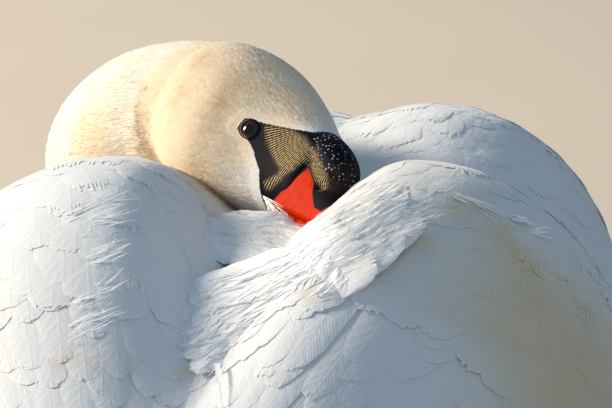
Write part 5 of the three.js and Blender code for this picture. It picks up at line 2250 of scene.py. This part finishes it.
        def lie(a: Array, b: Array) -> Array:
            """Feathers splay a little down the flank, and turn in over the back."""
            inward = -0.30 * smooth(0.34, 0.12, b) * smooth(0.25, 0.4, a) * smooth(0.75, 0.5, a)
            return mix(-0.05, 0.14, b) + inward

        flat = dict(lie=lie, crown=0.01, tilt=0.012)
        front = Tract(FINE_VANE, sizes(22, 50), sizes(8, 17), along=(0.01, 0.66), pitch_along=0.30,
                      root_depth=1.3, tip_depth=0.0, ruffle=0.05, tuck=0.32, **flat)
        rear = Tract(QUILL_VANE, steady(120), steady(15), along=(0.5, 0.80), across=(0.0, 0.98),
                     pitch_along=0.2, pitch_across=1.15, root_depth=4.0, tip_depth=0.1, ruffle=0.2, tuck=0.4,
                     **flat)
        loose = Tract(RAGGED, sizes(20, 40), sizes(6, 12), along=(0.05, 0.62), pitch_along=1.5,
                      pitch_across=2.4, stray=0.9, root_depth=0.5, tip_depth=-0.3, ruffle=0.15, tuck=0.3,
                      sway=0.7, lie=lie, crown=0.03, tilt=0.02)
        # rim=1.4 lays painted tan shade on the wing feathers next to the head
        self._coat(f"plumage_wing_{name}", [(tract, patch, Part.WING) for tract in (front, rear, loose)],
                   Seed.WING + side.value, self.vane, rim=1.4)

    def build_quills(self) -> None:
        """The folded wing tips and the tail, in long feathers."""
        quill = dict(pitch_across=1.2, root_depth=1.5, tip_depth=0.0, tilt=0.08, ruffle=0.3)
        for side, tip in self.tips.items():
            patch = tube_patch(tip.rings(200, 96, 0.0))
            tract = Tract(QUILL_VANE, graded(150.0, 60.0), steady(9.0), along=(0.05, 0.75), pitch_along=0.14,
                          **quill)
            self._coat(f"wing_tip_{side.name.lower()}", [(tract, patch, Part.REAR)],
                       Seed.WING_TIP + side.value, self.vane)
        patch = tube_patch(self.tail.rings(200, 160, 0.0))
        tract = Tract(QUILL_VANE, graded(110.0, 60.0), steady(12.0), along=(0.02, 0.62), pitch_along=0.16,
                      **quill)
        self._coat("plumage_tail", [(tract, patch, Part.REAR)], Seed.TAIL, self.vane)

    def build_mantle(self) -> None:
        """The ruffled plume on the back and the loose feathers that the bill is pushed under.

        The plume parts along its middle: its upper lobe is blown back towards the swan's right, its lower
        lobe lies down to the left, and single barbs stand off both.
        """
        plume = Patch(spread_grid(PLUME_GRID, 200, 90), False, upward=True)
        hollow = Patch(spread_grid(MANTLE_GRID, 160, 80), False, upward=True)

        def blown(a: Array, b: Array) -> Array:
            """Against the surface's run, and spread towards its outer edge."""
            return math.pi - 0.12 - 0.30 * b - 0.32 * smooth(0.42, 0.12, a)

        def laid(a: Array, b: Array) -> Array:
            """Down the surface, with a slight fan."""
            return -0.22 + 0.40 * b

        soft = dict(pitch_across=0.8, crown=0.06, tilt=0.03, tuck=0.5)
        upper = Tract(FINE_VANE, steady(33.0), steady(8.0), along=(0.24, 0.48), across=(0.0, 0.94),
                      lie=blown, pitch_along=0.17, root_depth=3.0, tip_depth=-0.8, ruffle=0.5, sway=0.25,
                      **soft)
        frayed = Tract(RAGGED, steady(24.0), steady(4.0), along=(0.14, 0.24), across=(0.0, 0.85), lie=blown,
                       pitch_along=0.2, root_depth=2.0, tip_depth=-1.2, ruffle=0.6, sway=0.45, **soft)
        lower = Tract(FINE_VANE, steady(33.0), steady(9.0), along=(0.40, 0.82), lie=laid, pitch_along=0.24,
                      root_depth=3.0, tip_depth=-0.4, ruffle=0.35, sway=0.2, **soft)
        cover = Tract(FINE_VANE, steady(25.0), steady(6.5), along=(-0.1, 0.72), across=(0.0, 1.3),
                      pitch_along=0.2, root_depth=3.0, tip_depth=-0.4, ruffle=0.5, sway=0.35, **soft)
        barbs = dict(pitch_across=18.0, stray=1.0, root_depth=1.0, ruffle=1.0, crown=0.0, tilt=0.3, tuck=0.0)
        stray_up = Tract(HAIR, steady(28.0), steady(0.22), along=(0.08, 0.42), lie=blown, pitch_along=0.12,
                         tip_depth=-1.8, sway=0.8, **barbs)
        stray_down = Tract(HAIR, steady(26.0), steady(0.22), along=(0.35, 0.9), across=(0.0, 1.06), lie=laid,
                           pitch_along=0.2, tip_depth=-1.2, sway=0.7, **barbs)
        stray_left = Tract(HAIR, steady(22.0), steady(0.2), along=(0.0, 0.8), pitch_along=0.2,
                           tip_depth=-1.4, sway=0.9, **barbs)
        rng = np.random.default_rng(Seed.MANTLE)
        clean = replace(self.stains_and_light, stain_and_light_spots=())
        order = ((upper, plume), (frayed, plume), (lower, plume), (cover, hollow), (stray_up, plume),
                 (stray_down, plume), (stray_left, hollow))
        sheets = [tract.lay(patch, lambda p: p[..., 2] > 0, clean, rng) for tract, patch in order]
        facing = np.array([[0.0, 0.4, 0.9]])
        sheets.append(strands(np.array(LOOSE_QUILL), np.array([1.2]), facing, clean, rng))
        sheets.append(self._wisps(clean, rng))
        # painted light: the plume gets a whiter copy of the vane finish, which stands in for sunlight
        # falling on it
        painted_sunlit_vane = replace(self.plumage, white=colour(0.95, 0.95, 0.94)).vane("plumage_painted_sunlit")
        piece = make_object("plumage_mantle", sheets, self.plan, [painted_sunlit_vane])
        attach(piece, "root")

    @staticmethod
    def _wisps(stains_and_light: StainAndLightField, rng: np.random.Generator) -> Sheet:
        """Loose barbs that stand off the wings, in the clusters of the table.

        Args:
            stains_and_light: The field of stains and painted light.
            rng: Seeded random numbers.

        Returns:
            The barbs as one sheet.
        """
        rows = np.repeat(np.asarray(WISPS, float), [row[6] for row in WISPS], axis=0)
        count = len(rows)
        up = np.where(rows[:, :1] < 0, [[-0.54, 0.15, 0.83]], [[-0.12, 0.37, 0.92]])
        stray = (rng.random((count, 3)) - 0.5) * 2 * rows[:, 7:8]
        root = rows[:, :3] + stray - up * (stray * up).sum(-1, keepdims=True)
        run = rows[:, 3:6] * (0.6 + 0.7 * rng.random((count, 1)))
        run = run + np.cross(up, run) * (rng.random((count, 1)) - 0.5) * 0.7
        rise = up * rows[:, 8:9]
        tip = root + run + rise * rng.random((count, 1))
        bends = np.stack([root - up * 0.6, root + run * 0.5 + rise * 0.35, tip])
        return strands(bends, rows[:, 9] * (0.5 + rng.random(count)), up, stains_and_light, rng)

    def _chin_hairs(self, count: int = 44) -> Sheet:
        """Fine pale feathers of the chin that stray over the side of the bill.

        Args:
            count: How many.

        Returns:
            The feathers as one sheet.
        """
        rng = np.random.default_rng(Seed.CHIN)
        share = rng.random(count)
        f, u = mix(21.0, 24.5, share), mix(-25.5, -32.5, share)
        out = mix(0.0, 1.4, rng.random(count))
        long = 12 + 17 * rng.random(count)
        lean = -0.9 - 3.5 * rng.random(count)
        start = self.skull.side_of(f, u)
        root = HEAD.point(f, u, start - 0.2)
        middle = HEAD.point(f + long * 0.5, u + lean * 0.2, mix(start, 13.7, 0.7) + out * 0.3)
        tip = HEAD.point(f + long, u + lean, 14.5 + out * 0.8)
        outward = np.broadcast_to(HEAD.axes()[2], (count, 3))
        half_width = mix(0.12, 0.24, rng.random(count))
        return strands(np.stack([root, middle, tip]), half_width, outward, self.stains_and_light, rng)

    # ------------------------------------------------------------ bill and eyes
    def build_bill(self) -> None:
        """The two halves of the bill, which start along the border of the face."""
        material = BareFace().bill()
        at = np.linspace(0, 1, 150)[:, None]
        angle = circle(120)
        border = np.asarray(BILL_LINE, float)
        for name, rows, waist, power, back in (("upper", BILL_ROWS, 0.14, 2.3, 3.0),
                                               ("lower", JAW_ROWS, 0.7, 2.4, 0.0)):
            _, rise = ring(angle, *through(rows, np.array(45.0)), waist, power)
            start = np.interp(-rise, -border[:, 1], border[:, 0]) - back
            f = mix(start, rows[-1][0], at)
            s, u = ring(angle, *np.moveaxis(through(rows, f), -1, 0), waist, power)
            points = HEAD.point(f, u, s)
            at_f, at_u, long, high, deep = NOSTRIL
            dent = deep * np.exp(-((f - at_f) / long) ** 2 - ((u - at_u) / high) ** 2) * (name == "upper")
            middle = points.mean(1, keepdims=True)
            points = points - unit(points - middle) * dent[..., None]
            sheet = self.face_marks_and_light.paint(closed_tube(rounded(points, at[:, 0], 0.01, 0.12)), self.skull)
            f, u, _ = HEAD.coords(sheet.points).T
            edge = np.where(f < 64, 9, np.abs(u - np.interp(f, *zip(*MOUTH_LINE))) - 0.7)
            sheet.with_value("Orange", np.minimum(sheet.values["Orange"], edge))
            piece = make_object(f"bill_horn_{name}", [sheet], self.plan, [material])
            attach(piece, "root")
            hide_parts(f"bill_{name}")

    def build_eyes(self) -> None:
        """Two eyeballs, each behind its lids."""
        material = Eye().ball()
        turn, rise = np.meshgrid(circle(64), np.linspace(0.02, math.pi - 0.02, 48))
        for side in Side:
            lid = Eyelid(side)
            centre, across, up, out = lid.axes(self.skull)
            spread = np.cos(turn)[..., None] * across + np.sin(turn)[..., None] * up
            reach = np.cos(rise)[..., None] * out + np.sin(rise)[..., None] * spread
            sheet = closed_tube(centre + lid.ball * reach)
            sheet.with_value("Gaze", np.concatenate([rise.ravel(), [0, math.pi]]) / 1.1)
            name = side.name.lower()
            piece = make_object(f"eyeball_{name}", [sheet], self.plan, [material])
            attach(piece, "root")
            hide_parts(f"eye_{name}")

    def build_claws(self) -> None:
        """The claws of both feet."""
        material = ClawHorn().horn()
        for side in Side:
            piece = make_object(f"claws_{side.name.lower()}", Foot(side).claws(), self.plan, [material])
            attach(piece, "root")

    def build(self) -> None:
        """Builds every piece in order."""
        self.build_skin()
        self.build_bill()
        self.build_eyes()
        self.build_claws()
        self.build_head_coat()
        self.build_neck_coat()
        self.build_trunk_coat()
        for side in Side:
            self.build_wing_coat(side)
        self.build_mantle()
        self.build_quills()


# ---------------------------------------------------------------- studio
@dataclass(frozen=True)
class Lamp:
    """One square area light: its distance and side in metres, its power in watts and its colour."""

    name: str
    direction: Triple
    distance: float
    side: float
    power: float
    tint: Triple


@dataclass(frozen=True)
class Studio:
    """A pale floor, a warm key light from the swan's left, a cool fill and the camera behind the bird."""

    target: Triple = (-0.0138, -0.0299, 0.242)
    toward_camera: Triple = (-0.2026, 0.9531, 0.2250)
    distance: float = 6.95
    lens: float = 900.0
    lamps: tuple[Lamp, ...] = (Lamp("key", (0.88, -0.18, 0.345), 4.0, 0.9, 360.0, (1.0, 0.89, 0.75)),
                               Lamp("fill", (-0.5, 0.8, 0.7), 3.0, 2.4, 12.0, (0.72, 0.84, 1.0)))
    sky: Colour = colour(0.52, 0.74, 1.0)
    sky_strength: float = 0.44
    floor_reach: float = 12000.0    # half the floor's side, in millimetres

    def build(self) -> None:
        """Makes the floor, lights, world and camera."""
        self._floor()
        for lamp in self.lamps:
            self._light(lamp)
        world = bpy.data.worlds.new("studio")
        world.use_nodes = True
        sky = world.node_tree.nodes["Background"]
        sky.inputs["Color"].default_value = self.sky
        sky.inputs["Strength"].default_value = self.sky_strength
        bpy.context.scene.world = world
        self._camera()
        bpy.context.scene.view_settings.view_transform = "Standard"

    def _aim(self, obj: bpy.types.Object, direction: Triple, distance: float) -> None:
        """Puts a light or camera out along a direction from the target, looking back at it.

        Args:
            obj: The light or camera.
            direction: The way from the target to it.
            distance: How far off it stands, in metres.
        """
        away = unit(np.array(direction, float))
        right = unit(np.cross(UP, away))
        up = np.cross(away, right)
        where = np.array(self.target) + away * distance
        matrix = [[right[k], up[k], away[k], where[k]] for k in range(3)] + [[0, 0, 0, 1]]
        obj.matrix_world = [list(column) for column in zip(*matrix)]

    def _light(self, lamp: Lamp) -> None:
        """Adds a light.

        Args:
            lamp: What it is like.
        """
        light = bpy.data.lights.new(lamp.name, "AREA")
        light.shape = "SQUARE"
        light.size = lamp.side
        light.energy = lamp.power
        light.color = lamp.tint
        obj = bpy.data.objects.new(lamp.name, light)
        bpy.context.scene.collection.objects.link(obj)
        self._aim(obj, lamp.direction, lamp.distance)

    def _camera(self) -> None:
        """The camera, its lens and its place."""
        lens = bpy.data.cameras.new("camera")
        lens.lens = self.lens
        lens.sensor_width = 36.0
        lens.clip_end = 50.0
        obj = bpy.data.objects.new("camera", lens)
        bpy.context.scene.collection.objects.link(obj)
        self._aim(obj, self.toward_camera, self.distance)
        bpy.context.scene.camera = obj

    def _floor(self) -> None:
        """A wide pale floor with a faint grain."""
        shader = Shader("studio_floor")
        grain = shader.noise(shader.place(), 3.0, 4.0)
        tone = shader.blend(grain, colour(0.50, 0.42, 0.33), colour(0.56, 0.48, 0.38))
        material = shader.surface(Base_Color=tone, Roughness=0.9)
        reach = np.linspace(-self.floor_reach, self.floor_reach, 9)
        x, y = np.meshgrid(reach, reach, indexing="ij")
        sheet = Sheet(np.stack([x, y, np.zeros_like(x)], -1).reshape(-1, 3), [grid_faces(9, 9)[:, ::-1]])
        make_object("floor", [sheet], Plan((0, 0, 0)), [material])


def main() -> None:
    """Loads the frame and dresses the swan."""
    logging.basicConfig(level=logging.INFO, format="%(name)s %(message)s")
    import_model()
    low, high = (np.array(corner) * 1000 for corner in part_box("knob"))
    knob = HEAD.point(*(np.array(v) for v in (Skull().knob[0], Skull().knob[1], 0.0)))
    plan = Plan(tuple((low + high) / 2 - knob))
    LOG.info("plan shift %s", plan.shift)
    Swan(plan).build()
    Studio().build()


if __name__ == "__main__":
    main()
